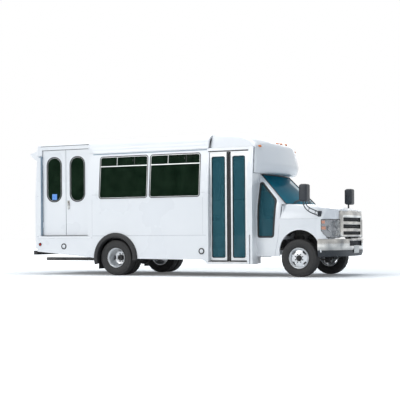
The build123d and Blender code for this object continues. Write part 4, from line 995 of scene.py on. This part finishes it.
def hood_top(u, v):
    """Hood's face: u across from right to left, v from the cowl to the front edge."""
    a = 2 * u - 1
    y_front = a * 0.640
    d = HOOD_REAR + v * (hood_front(y_front) - HOOD_REAR)
    y = a * (0.832 + v * (0.640 - 0.832))
    z = 1.435 - 0.125 * (d + 0.215) / 1.015
    edge = step01(1.0, 0.93, abs(a))
    z += 0.020 * math.sin(math.pi * min(1.0, v * 1.02)) ** 0.8 * edge
    dome = step01(0.64, 0.50, abs(a)) * step01(0.02, 0.25, v)
    z += 0.016 * dome
    z -= 0.010 * step01(0.16, 0.0, abs(a)) * step01(0.3, 0.8, v)
    z -= 0.040 * step01(0.90, 1.0, v) ** 2
    return (fx(d), y, z)


def hood_piece():
    bm = bmesh.new()
    slab(bm, hood_top, (0.0, 0.0, -0.022), 72, 40)
    for y in (-0.56, 0.50):
        lathe(bm, [(0.0045, 0.0), (0.005, 0.001), (0.005, 0.059), (0.0045, 0.06)], (fx(-0.215), y + 0.06, 1.435),
              "Y", 16)
        box(bm, (fx(-0.213), fx(-0.195)), (y + 0.06, y + 0.12), (1.433, 1.437), 0.0008)
    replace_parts(finish_mesh("hood_panel", bm, "white_paint", "hood", 30.0), "hood")
    bm = bmesh.new()
    for s in (-1, 1):
        box(bm, (fx(-0.12), fx(0.62)), (s * 0.50, s * 0.53), (1.27, 1.30), 0.006)
    box(bm, (fx(0.58), fx(0.62)), (-0.53, 0.53), (1.25, 1.275), 0.006)
    box(bm, (fx(-0.14), fx(-0.11)), (-0.60, 0.60), (1.33, 1.36), 0.006)
    finish_mesh("hood_ribs", bm, "white_panel", "hood")


def windscreen(u, v):
    """Windscreen's face: u across, v from the cowl to the header."""
    a = 2 * u - 1
    half = 0.878 + v * (0.738 - 0.878)
    edge = -0.310 + v * (-0.886 + 0.310) + 0.008
    bow = 0.070 + v * (0.060 - 0.070)
    return (fx(edge + bow * (1 - a * a)), a * half, 1.4353 + v * 0.6047)


def windscreen_piece():
    bm = bmesh.new()
    slab(bm, windscreen, (-0.006, 0.0, -0.002), 40, 16)
    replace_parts(finish_mesh("windscreen", bm, "screen_glass"), "windshield")
    rim = [windscreen(i / 30, 0.0) for i in range(31)] + [windscreen(1.0, j / 12) for j in range(1, 13)]
    rim += [windscreen(1 - i / 30, 1.0) for i in range(1, 31)] + [windscreen(0.0, 1 - j / 12) for j in range(1, 12)]
    rim = [(x + 0.001, y * 0.997, z + 0.002) for x, y, z in rim]
    tube("windscreen_gasket", rim, 0.011, "rubber", order=2, closed=True)
    for k, (u0, u1) in enumerate(((0.16, 0.46), (0.58, 0.88))):
        a, b = windscreen(u0, 0.03), windscreen(u1, 0.16)
        pts = [(a[0] + 0.030, a[1], a[2] + 0.0), (a[0] + 0.034, (a[1] + b[1]) / 2, (a[2] + b[2]) / 2 + 0.012),
               (b[0] + 0.014, b[1], b[2] + 0.006)]
        tube(f"wiper_arm_{k}", pts, 0.006, "rubber")
        c, d = windscreen(u0 + 0.06, 0.07), windscreen(u1 + 0.02, 0.19)
        mid = windscreen((u0 + u1) / 2 + 0.04, 0.14)
        tube(f"wiper_blade_{k}", [(c[0] + 0.012, c[1], c[2] + 0.005), (mid[0] + 0.013, mid[1], mid[2] + 0.005),
                                  (d[0] + 0.012, d[1], d[2] + 0.005)], 0.005, "rubber")
    bm = bmesh.new()
    slab(bm, lambda u, v: (fx(-0.300 + 0.058 * (1 - (2 * u - 1) ** 2) + 0.055 * v), (2 * u - 1) * 0.80,
                           1.4375 + 0.004 * (1 - (2 * v - 1) ** 2)), (0.0, 0.0, -0.004), 40, 6)
    finish_mesh("cowl_grille", bm, "rubber")


def cab_sides():
    quarter = [(fx(-0.530), 0.790), (fx(-0.850), 0.790), (fx(-0.850), 1.870), (fx(-0.800), 1.870), (fx(-0.475), 1.516)]
    loop = dense(round_poly(quarter, 0.045), 0.06)
    rubber, glass = bmesh.new(), bmesh.new()
    ring(rubber, cab_right, inset(loop, -0.016), 0.036, 0.008, -0.006)
    plate(glass, cab_right, inset(loop, 0.010), -0.014, -0.008, 0.0005)
    finish_mesh("cab_quarter_gasket", rubber, "rubber")
    finish_mesh("cab_quarter_pane", glass, "glass")
    for name, pts in (("fender_seam_right", [(fx(-0.358), 1.432), (fx(-0.392), 1.10), (fx(-0.428), 0.777),
                                              (fx(-0.465), 0.60), (fx(-0.498), 0.43)]),):
        tube(name, [cab_right(u, v, 0.0004) for u, v in pts], 0.0022, "seam")
    # Grey line along the fender crease: painted shade in the crease.
    for place, name in ((cab_right, "right"), (cab_left, "left")):
        tube("fender_crease_shade_" + name, [place(fx(-0.375), 1.143, 0.0006), place(fx(0.0), 1.143, 0.0006),
                                       place(fx(0.40), 1.140, 0.0006)], 0.0017, "seam")
    for s, name in ((-1, "right"), (1, "left")):
        bm = bmesh.new()
        loops = []
        for i in range(33):
            a = math.radians(12 + 156 * i / 32)
            loops.append([(fx(0.022) + r * math.cos(a), s * y, 0.502 + r * math.sin(a))
                          for r, y in ((0.466, 0.60), (0.466, 0.955), (0.472, 0.955), (0.472, 0.60))])
        loops_piece(bm, loops, cap_first=True, cap_last=True)
        finish_mesh("wheel_well_" + name, bm, "liner")
        bm = bmesh.new()
        loops = []
        for i in range(49):
            a = math.radians(-2 + 184 * i / 48)
            z = 0.502 + 0.43 * math.sin(a)
            y = cab_y(z)
            loops.append([(fx(0.022) + r * math.cos(a), s * (y + d), 0.502 + r * math.sin(a))
                          for r, d in ((0.424, -0.030), (0.424, 0.002), (0.428, 0.006), (0.438, 0.006),
                                       (0.448, 0.002), (0.450, -0.004))])
        loops_piece(bm, loops, cap_first=True, cap_last=True)
        finish_mesh("arch_lip_" + name, bm, "white_paint")


def nose_place(u, v, d):
    """Point on the grille's bowed face at Y u and Z v."""
    return (fx(0.800 - 0.052 * (u / 0.68) ** 2) + d, u, v)


def lerp_loop(a, b, t):
    return [tuple(p + (q - p) * t for p, q in zip(x, y)) for x, y in zip(a, b)]


def grille_piece():
    bm = bmesh.new()
    outer = rounded(-0.68, 0.68, 0.777, 1.283, 0.05, 6)
    hole = rounded(-0.535, 0.535, 0.828, 1.165, 0.03, 6)
    wide = 0.05
    outer_d, hole_d = [], []
    n = len(outer)
    for i in range(n):
        a, b = Vector(outer[i]), Vector(outer[(i + 1) % n])
        c, d = Vector(hole[i]), Vector(hole[(i + 1) % n])
        k = max(1, int((b - a).length / wide))
        for j in range(k):
            outer_d.append(tuple(a.lerp(b, j / k)))
            hole_d.append(tuple(c.lerp(d, j / k)))
    stations = ((0.0, -0.060), (0.0, -0.012), (0.08, -0.002), (0.25, 0.006), (0.5, 0.010), (0.8, 0.008), (0.94, 0.002),
                (1.0, -0.006), (1.0, -0.045))
    loops_piece(bm, [[nose_place(u, v, d) for u, v in lerp_loop(outer_d, hole_d, t)] for t, d in stations],
                closed=True)
    for v0, v1 in ((1.028, 1.090), (0.889, 0.952)):
        loop = dense(rounded(-0.545, 0.545, v0, v1, 0.012, 4), 0.05)
        plate(bm, nose_place, loop, -0.040, -0.002, 0.008)
    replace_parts(finish_mesh("grille_surround", bm, "chrome"), "grille")
    bm = bmesh.new()
    loop = dense(rounded(-0.56, 0.56, 0.81, 1.18, 0.01, 3), 0.06)
    plate(bm, nose_place, loop, -0.062, -0.050, 0.001)
    for v0, v1 in ((1.092, 1.155), (0.954, 1.028), (0.833, 0.887)):
        for k in range(27):
            u = -0.52 + 0.04 * k
            bar(bm, nose_place, (u - 0.004, u + 0.004), (v0, v1), -0.050, -0.026, 0.002)
        mid = (v0 + v1) / 2
        for k in range(13):
            u = -0.48 + 0.08 * k
            bar(bm, nose_place, (u - 0.04, u + 0.04), (mid - 0.003, mid + 0.003), -0.050, -0.028, 0.001)
    finish_mesh("grille_mesh", bm, "trim")
    bm = bmesh.new()
    slab(bm, lambda u, v: nose_place((2 * u - 1) * 0.66, 1.284 + 0.022 * v, -0.002 - 0.028 * v), (0.0, 0.0, -0.01),
         30, 4)
    finish_mesh("grille_brow", bm, "chrome")


def lamp_plan(t):
    """Plan of the head lamp's face from the fender round to the grille, on the left side."""
    return bezier((0.472, 0.9985), (0.60, 0.965), (0.752, 0.690), 10)[int(round(t * 10))]


def lamp_point(t, v, back, s):
    p = bezier((0.472, 0.9985), (0.61, 0.965), (0.752, 0.690), 20)[int(round(t * 20))]
    low = 0.772 + 0.13 * max(0.0, 1 - t / 0.35)
    high = 1.126
    z = low + (high - low) * v
    nx, ny = 0.72, 0.69
    return (fx(p[0] - back * nx), s * (p[1] - back * ny), z)


def lamp_low(t, v, s):
    """Strip of fender under the head lamp's slanted lower corner."""
    top = 0.766 + 0.13 * max(0.0, 1 - t / 0.35)
    x, y, _ = lamp_point(t, 0.0, 0.0, s)
    return (x, y, 0.748 + (top - 0.748) * v)


def head_lamps():
    for s, name in ((-1, "right"), (1, "left")):
        lens, shell, chrome, amber = bmesh.new(), bmesh.new(), bmesh.new(), bmesh.new()
        slab(lens, lambda u, v: lamp_point(u, v, 0.004 + 0.010 * (2 * v - 1) ** 4, s), (-0.004, 0, 0), 20, 8)
        slab(shell, lambda u, v: lamp_point(u, v, 0.075, s), (-0.006, 0, 0), 20, 6)
        rim_pts = [lamp_point(i / 20, 0.0, 0.006, s) for i in range(21)]
        rim_pts += [lamp_point(1.0, j / 6, 0.006, s) for j in range(1, 7)]
        rim_pts += [lamp_point(1 - i / 20, 1.0, 0.006, s) for i in range(1, 21)]
        rim_pts += [lamp_point(0.0, 1 - j / 6, 0.006, s) for j in range(1, 6)]
        tube("lamp_gasket_" + name, rim_pts, 0.0055, "rubber", order=2, closed=True)
        for t, z, r in ((0.80, 1.03, 0.068), (0.80, 0.86, 0.062), (0.45, 0.95, 0.055)):
            c = lamp_point(t, 0.5, 0.070, s)
            bowl = [(0.016, -0.004), (0.020, 0.000), (r * 0.55, 0.010), (r * 0.85, 0.030), (r, 0.050),
                    (r + 0.003, 0.050), (r * 0.88, 0.026), (r * 0.55, 0.004), (0.016, -0.010)]
            lathe(chrome, [(q, -0.01 + w) for q, w in bowl], (c[0], c[1], z), "X", 32, closed=True)
            bulb = [(0.002, 0.034), (0.010, 0.030), (0.014, 0.018), (0.014, -0.004)]
            lathe(lens, bulb, (c[0], c[1], z), "X", 16)
        for t0, t1, z0, z1 in ((0.05, 0.30, 0.93, 0.985), (0.05, 0.26, 1.045, 1.10)):
            pts = []
            for t, z in ((t0, z0), (t1, z0), (t1, z1), (t0, z1)):
                pts.append((t, z))
            low = [lamp_point(t, (z - 0.772 - 0.13 * max(0.0, 1 - t / 0.35)) / (0.354 - 0.13 * max(0.0, 1 - t / 0.35)),
                              0.020, s) for t, z in pts]
            high = [lamp_point(t, (z - 0.772 - 0.13 * max(0.0, 1 - t / 0.35)) / (0.354 - 0.13 * max(0.0, 1 - t / 0.35)),
                               0.009, s) for t, z in pts]
            loops_piece(amber, [low, high], cap_first=True, cap_last=True)
        panel = bmesh.new()
        slab(panel, lambda u, v: (fx(0.388 + 0.082 * u), s * (0.9992 - 0.0007 * u), 0.748 + 0.384 * v),
             (0, -s * 0.004, 0), 6, 8)
        slab(panel, lambda u, v: lamp_low(u * 0.40, v, s), (-0.004, 0, 0), 10, 4)
        finish_mesh("fender_end_" + name, panel, "white_paint")
        obj = finish_mesh("head_lamp_lens_" + name, lens, "lens_clear")
        finish_mesh("head_lamp_housing_" + name, shell, "lamp")
        finish_mesh("head_lamp_bowls_" + name, chrome, "chrome")
        finish_mesh("head_lamp_reflector_" + name, amber, "lens_amber")
        if s < 0:
            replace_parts(obj, "lamps")
        red, frame_bm, clear = bmesh.new(), bmesh.new(), bmesh.new()
        loop = rounded(s * 1.06 - 0.058, s * 1.06 + 0.058, 0.932, 1.498, 0.03, 5)
        ring(frame_bm, rear_plane, loop, 0.012, 0.016, -0.004)
        for k, (v0, v1) in enumerate(((0.95, 1.12), (1.125, 1.30), (1.305, 1.48))):
            target = (clear, red, red)[k]
            loop = rounded(s * 1.06 - 0.045, s * 1.06 + 0.045, v0, v1, 0.018, 4)
            plate(target, rear_plane, loop, -0.004, 0.014, 0.006)
            for j in range(7):
                v = v0 + 0.02 + j * (v1 - v0 - 0.04) / 6
                bar(target, rear_plane, (s * 1.06 - 0.036, s * 1.06 + 0.036), (v - 0.003, v + 0.003), 0.012, 0.0165,
                    0.001)
        finish_mesh("tail_lamp_frame_" + name, frame_bm, "rubber")
        finish_mesh("tail_lamp_red_" + name, red, "lens_red")
        finish_mesh("tail_lamp_reverse_" + name, clear, "lens_clear")


BUMPER = [(0.395, -1.000), (0.48, -0.994), (0.560, -0.975), (0.68, -0.86), (0.760, -0.745), (0.81, -0.58),
          (0.836, -0.40), (0.852, -0.20), (0.854, 0.0)]


def bumper_plan():
    half = smooth_line([(fx(x), y) for x, y in BUMPER], 2)
    return half + [(x, -y) for x, y in reversed(half[:-1])]


def front_bumper():
    plan = bumper_plan()
    bm = bmesh.new()
    top = [(-0.055, 0.744), (-0.010, 0.745), (-0.003, 0.742), (0.0, 0.734)]
    bottom = [(0.001, 0.560), (-0.003, 0.534), (-0.010, 0.524), (-0.022, 0.520), (-0.055, 0.520)]
    full = top + [(0.002, 0.700), (0.003, 0.650), (0.002, 0.600)] + bottom
    upper = top + [(0.002, 0.716), (-0.004, 0.709), (-0.055, 0.709)]
    lower = [(-0.055, 0.607), (-0.004, 0.607), (0.002, 0.600)] + bottom
    left = [p for p in plan if p[1] <= -0.37]
    right = [p for p in plan if p[1] >= 0.37]
    mid = [left[-1]] + [p for p in plan if abs(p[1]) < 0.37] + [right[0]]
    for line, section in ((left, full), (mid, upper), (mid, lower), (right, full)):
        along(bm, line, section)
    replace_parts(finish_mesh("front_bumper_chrome", bm, "chrome"), "front_bumper")
    bm = bmesh.new()
    along(bm, mid, [(-0.030, 0.605), (-0.030, 0.711), (-0.040, 0.711), (-0.040, 0.605)])
    for k in range(13):
        u = -0.33 + 0.055 * k
        x = fx(0.828 - 0.02 * abs(u))
        box(bm, (x - 0.01, x + 0.004), (u - 0.004, u + 0.004), (0.608, 0.708), 0.001, 1)
    valance = [(-0.030, 0.524), (-0.012, 0.520), (-0.010, 0.490), (-0.022, 0.440), (-0.040, 0.402), (-0.060, 0.400),
               (-0.064, 0.524)]
    along(bm, plan, valance)
    finish_mesh("front_bumper_valance", bm, "black_plastic")
    bm = bmesh.new()
    box(bm, (fx(0.8545), fx(0.8585)), (-0.152, 0.152), (0.462, 0.614), 0.0015)
    for s in (-1, 1):
        lathe(bm, [(0.006, 0.0), (0.006, 0.0008), (0.004, 0.0012)], (fx(0.8585), s * 0.0889, 0.590), "X", 16)
    finish_mesh("front_plate_blank", bm, "plate_white")


def mirrors():
    for s, name in ((-1, "right"), (1, "left")):
        shell, glass = bmesh.new(), bmesh.new()
        box(shell, (fx(0.196), fx(0.345)), (s * 1.235, s * 1.449), (1.463, 1.800), 0.036, 5)
        ring_loop = rounded(s * 1.342 - 0.090, s * 1.342 + 0.090, 1.480, 1.783, 0.03, 6)
        place = (lambda u, v, d: (fx(0.196) - d, u, v))
        ring(shell, place, ring_loop, 0.010, 0.010, -0.002)
        plate(glass, place, rounded(s * 1.342 - 0.078, s * 1.342 + 0.078, 1.60, 1.772, 0.02, 5), -0.002, 0.004, 0.001)
        plate(glass, place, rounded(s * 1.342 - 0.078, s * 1.342 + 0.078, 1.492, 1.590, 0.02, 5), -0.002, 0.006, 0.003)
        obj = finish_mesh("mirror_head_" + name, shell, "black_plastic")
        finish_mesh("mirror_glass_" + name, glass, "mirror_glass")
        if s < 0:
            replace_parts(obj, "mirrors")
        tube("mirror_arm_upper_" + name, [(fx(0.262), s * 1.300, 1.475), (fx(0.268), s * 1.285, 1.415),
             (fx(0.300), s * 1.190, 1.345), (fx(0.372), s * 1.050, 1.300), (fx(0.425), s * 0.965, 1.262)], 0.010,
             "black_plastic")
        tube("mirror_arm_lower_" + name, [(fx(0.232), s * 1.345, 1.475), (fx(0.238), s * 1.330, 1.385),
             (fx(0.275), s * 1.205, 1.285), (fx(0.360), s * 1.055, 1.225), (fx(0.430), s * 0.965, 1.190)], 0.010,
             "black_plastic")
        tube("mirror_brace_" + name, [(fx(0.300), s * 1.185, 1.340), (fx(0.285), s * 1.195, 1.285)], 0.006,
             "black_plastic", order=2)
        tube("mirror_brace_low_" + name, [(fx(0.375), s * 1.045, 1.298), (fx(0.365), s * 1.045, 1.226)], 0.006,
             "black_plastic", order=2)
        foot = bmesh.new()
        box(foot, (fx(0.395), fx(0.470)), (s * 0.935, s * 0.985), (1.165, 1.290), 0.012, 3)
        finish_mesh("mirror_bracket_" + name, foot, "black_plastic")


def cap_skin():
    """Front cap as one moulding: the CAD shell made dense, its edges rounded and its chin and crown curved."""
    src = NODES["front_cap"]
    work = bpy.data.objects.new("cap_work", src.data.copy())
    bpy.context.scene.collection.objects.link(work)
    remesh = work.modifiers.new("dense", "REMESH")
    remesh.mode = "VOXEL"
    remesh.voxel_size = 0.018
    bpy.context.view_layer.update()
    made = bpy.data.meshes.new_from_object(work.evaluated_get(bpy.context.evaluated_depsgraph_get()))
    bpy.data.objects.remove(work)
    bm = bmesh.new()
    bm.from_mesh(made)
    bpy.data.meshes.remove(made)
    rear, top = fx(-1.86), 2.95
    verts = list(bm.verts)
    hold = []
    for v in verts:
        post = fx(-0.884) if v.co.y < 0 else fx(-1.45)
        free = max(step01(post + 0.01, post + 0.22, v.co.x), step01(2.60, 2.72, v.co.z))
        hold.append(step01(rear + 0.03, rear + 0.25, v.co.x) * free)
    near = [[e.other_vert(v).index for e in v.link_edges] for v in verts]
    bm.verts.index_update()
    spots = [v.co.copy() for v in verts]
    for _ in range(34):
        fresh = []
        for k, p in enumerate(spots):
            if hold[k] < 0.01:
                fresh.append(p)
                continue
            mean = Vector((0, 0, 0))
            for n in near[k]:
                mean += spots[n]
            mean /= len(near[k])
            fresh.append(p.lerp(mean, 0.6 * hold[k]))
        spots = fresh
    for v, p, w in zip(verts, spots, hold):
        x, y, z = p
        side = min(1.0, abs(y) / 1.12)
        ahead = step01(fx(-1.55), fx(-1.0), x)
        high = step01(2.30, 2.75, z)
        z += 0.050 * ahead * high * (1 - side ** 2)
        y *= 1 - 0.05 * step01(fx(-0.86), fx(-0.60), x) * high
        x -= 0.07 * ahead * high * side ** 4
        chin = step01(2.30, 2.06, z)
        x -= 0.075 * step01(fx(-1.15), fx(-0.75), x) * chin ** 1.5
        v.co = p.lerp(Vector((x, y, min(z, top - 0.002))), w)
    obj = finish_mesh("front_cap_skin", bm, SLOT_OF["front_cap"], src["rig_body"], 32.0)
    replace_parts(obj, "front_cap")
    return obj


softened("cab_shell", 0.012)
CAP_SKIN = cap_skin()
softened("driver_door", 0.006)
softened("rear_bumper", 0.012)
softened("dashboard", 0.006)
softened("wheelchair_lift", 0.004)
hood_piece()
windscreen_piece()
cab_sides()
grille_piece()
head_lamps()
front_bumper()
mirrors()


# Seats
def add_mesh(target, part):
    """Move everything in one bmesh into another."""
    mesh = bpy.data.meshes.new("joined")
    part.to_mesh(mesh)
    part.free()
    target.from_mesh(mesh)
    bpy.data.meshes.remove(mesh)


def pillow(target, x, y, z, crown=0.02, cuts=14, channels=0, place=None):
    """Crowned closed cushion with rounded edges, sewn channels in its top and sides that pull in."""
    bm = bmesh.new()
    bmesh.ops.create_cube(bm, size=2.0)
    bmesh.ops.subdivide_edges(bm, edges=list(bm.edges), cuts=cuts, use_grid_fill=True)
    half = [(b - a) / 2 for a, b in (x, y, z)]
    mid = [(a + b) / 2 for a, b in (x, y, z)]
    soft = [min(half) * 0.8 / h for h in half]
    for v in bm.verts:
        over = [max(0.0, abs(c) - (1 - s)) / s for c, s in zip(v.co, soft)]
        length = math.sqrt(sum(o * o for o in over))
        scale = max(over) / length if length > 1e-6 else 1.0
        a, b, c = (math.copysign(min(abs(p), 1 - s) + o * scale * s, p)
                   for p, o, s in zip(v.co, over, soft))
        pull = 1 - 0.03 * (1 - c * c)
        lift = crown * (1 - a ** 4) * (1 - b ** 4) * (1 if c > 0 else 0.12)
        for k in range(1, channels + 1):
            centre = -1 + 2 * k / (channels + 1)
            lift -= 0.008 * math.exp(-((b - centre) / 0.05) ** 2) * (1 - a ** 6) * (1 if c > 0 else 0)
        spot = (mid[0] + a * pull * half[0], mid[1] + b * pull * half[1], mid[2] + c * half[2] + lift)
        v.co = place(*spot) if place else spot
    bmesh.ops.recalc_face_normals(bm, faces=bm.faces)
    add_mesh(target, bm)


def upright(target, x, y, z, lean, crown=0.02, channels=2):
    """Seat back: a pillow stood on edge, with its crown forward, leaning back."""
    def stand(h, side, d):
        return Vector((x[0] + d - h * lean, side, z[0] + h))
    pillow(target, (0, z[1] - z[0]), y, (0, x[1] - x[0]), crown, channels=channels, place=stand)


def seat(name, x, y0, y1, base, first=False):
    middle = (y0 + y1) / 2
    spans = ((y0 + 0.004, middle - 0.004), (middle + 0.004, y1 - 0.004)) if y1 - y0 > 0.6 else ((y0, y1),)
    cushion, back = bmesh.new(), bmesh.new()
    for a, b in spans:
        pillow(cushion, (x + 0.004, x + 0.446), (a, b), (base + 0.345, base + 0.430), 0.018, channels=2)
        upright(back, (x - 0.008, x + 0.072), (a, b), (base + 0.425, base + 0.985), 0.175)
    obj = finish_mesh(name + "_cushion", cushion, "fabric", angle=60.0)
    if first:
        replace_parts(obj, "seats")
    finish_mesh(name + "_back", back, "fabric", angle=60.0)
    legs = bmesh.new()
    box(legs, (x + 0.10, x + 0.36), (middle - 0.11, middle + 0.11), (base + 0.001, base + 0.014), 0.003)
    box(legs, (x + 0.16, x + 0.30), (middle - 0.06, middle + 0.06), (base + 0.012, base + 0.325), 0.012)
    box(legs, (x + 0.03, x + 0.42), (y0 + 0.04, y1 - 0.04), (base + 0.322, base + 0.346), 0.006)
    finish_mesh(name + "_frame", legs, "black_steel")
    if y1 - y0 > 0.6:
        side = y0 + 0.05 if y0 > 0 else y1 - 0.05
        top = base + 0.985
        tube(name + "_grab", [(x - 0.10, side, top - 0.03), (x - 0.104, side, top + 0.008),
                              (x - 0.104, side + 0.15 * (1 if y0 > 0 else -1), top + 0.010),
                              (x - 0.104, middle, top + 0.010), (x - 0.10, middle, top - 0.03)], 0.009, "rubber")


for i in range(2):
    seat_x = fx(-4.42) + 0.56 + 0.74 * i
    seat(f"seat_left_{i}", seat_x, 0.295, 1.155, 0.834, first=i == 0)
    seat(f"seat_right_{i}", seat_x, -1.155, -0.295, 0.834)
seat("seat_driver", fx(-1.31), 0.378, 0.798, 0.780)


# Seam between roof and front cap, and the driver's door
def on_surface(tree, origin, direction, lift=0.001):
    """Where a ray from outside first meets a surface."""
    ray = Vector(direction).normalized()
    place = tree.ray_cast(Vector(origin), ray)[0]
    return tuple(place - ray * lift) if place else None


def tree_of(*meshes):
    """Search tree over meshes."""
    bm = bmesh.new()
    for mesh in meshes:
        bm.from_mesh(mesh)
    return BVHTree.FromBMesh(bm)


def cap_seam():
    """Flange that closes the step between the roof and the front cap, and the bead on its edge."""
    x = fx(-1.86)
    roof_tree, cap_tree = tree_of(NODES["roof"].data), tree_of(CAP_SKIN.data)
    loops, bead = [], []
    for k in range(-44, 45):
        a = math.radians(k * 2.0)
        inward = Vector((0, -math.sin(a), -math.cos(a)))
        centre = Vector((0, 0, 2.30))
        low = on_surface(roof_tree, centre + Vector((x - 0.012, 0, 0)) - inward * 2.5, inward, 0.0)
        high = on_surface(cap_tree, centre + Vector((x + 0.012, 0, 0)) - inward * 2.5, inward, 0.0)
        if not low or not high or min(low[2], high[2]) < 2.588:
            continue
        lower = Vector(low) + inward * 0.012
        upper = Vector(high) + inward * 0.0015
        if (upper - lower).dot(inward) > -0.002:
            upper = lower - inward * 0.002
        loops.append([(x + t, *p[1:]) for p, t in ((lower, -0.003), (upper, -0.003), (upper, 0.006), (lower, 0.006))])
        bead.append((x - 0.003, *low[1:]))
    bm = bmesh.new()
    loops_piece(bm, loops, cap_first=True, cap_last=True)
    finish_mesh("cap_flange", bm, "white_paint")
    tube("cap_seam", bead, 0.0022, "aluminium", order=2)


def driver_door_trim():
    rubber = bmesh.new()
    window = [(fx(-0.520), 1.330), (fx(-1.325), 1.330), (fx(-1.295), 1.915), (fx(-0.960), 1.915), (fx(-0.520), 1.440)]
    ring(rubber, cab_left, inset(dense(round_poly(window, 0.03), 0.06), -0.014), 0.022, 0.006, -0.006)
    finish_mesh("driver_door_gasket", rubber, "rubber", "driver_door")
    grip = bmesh.new()
    bar(grip, cab_left, (fx(-1.32), fx(-1.19)), (1.235, 1.285), -0.002, 0.008, 0.004)
    bar(grip, cab_left, (fx(-1.31), fx(-1.20)), (1.255, 1.278), 0.008, 0.016, 0.004)
    finish_mesh("driver_door_handle", grip, "black_plastic", "driver_door")


cap_seam()
driver_door_trim()


def marker_places():
    places = []
    tree = tree_of(CAP_SKIN.data)
    for y, z in ((-0.955, 2.600), (-0.20, 2.695), (0.0, 2.700), (0.20, 2.695), (0.955, 2.600)):
        places.append(on_surface(tree, (6.0, y, z), (-1, 0, 0), 0.0))
    return places


for k, place in enumerate(marker_places()):
    marker = bmesh.new()
    loops = []
    for r, t in ((0.038, -0.02), (0.038, 0.008), (0.033, 0.016), (0.022, 0.024), (0.008, 0.027), (0.002, 0.0275)):
        loops.append([(place[0] + t, place[1] + 1.45 * r * math.cos(2 * math.pi * i / 24),
                       place[2] + 0.62 * r * math.sin(2 * math.pi * i / 24)) for i in range(24)])
    loops_piece(marker, loops, cap_first=True, cap_last=True)
    finish_mesh(f"cap_marker_{k}", marker, "lens_amber")


view = bpy.context.scene.view_settings
view.view_transform = "Standard"
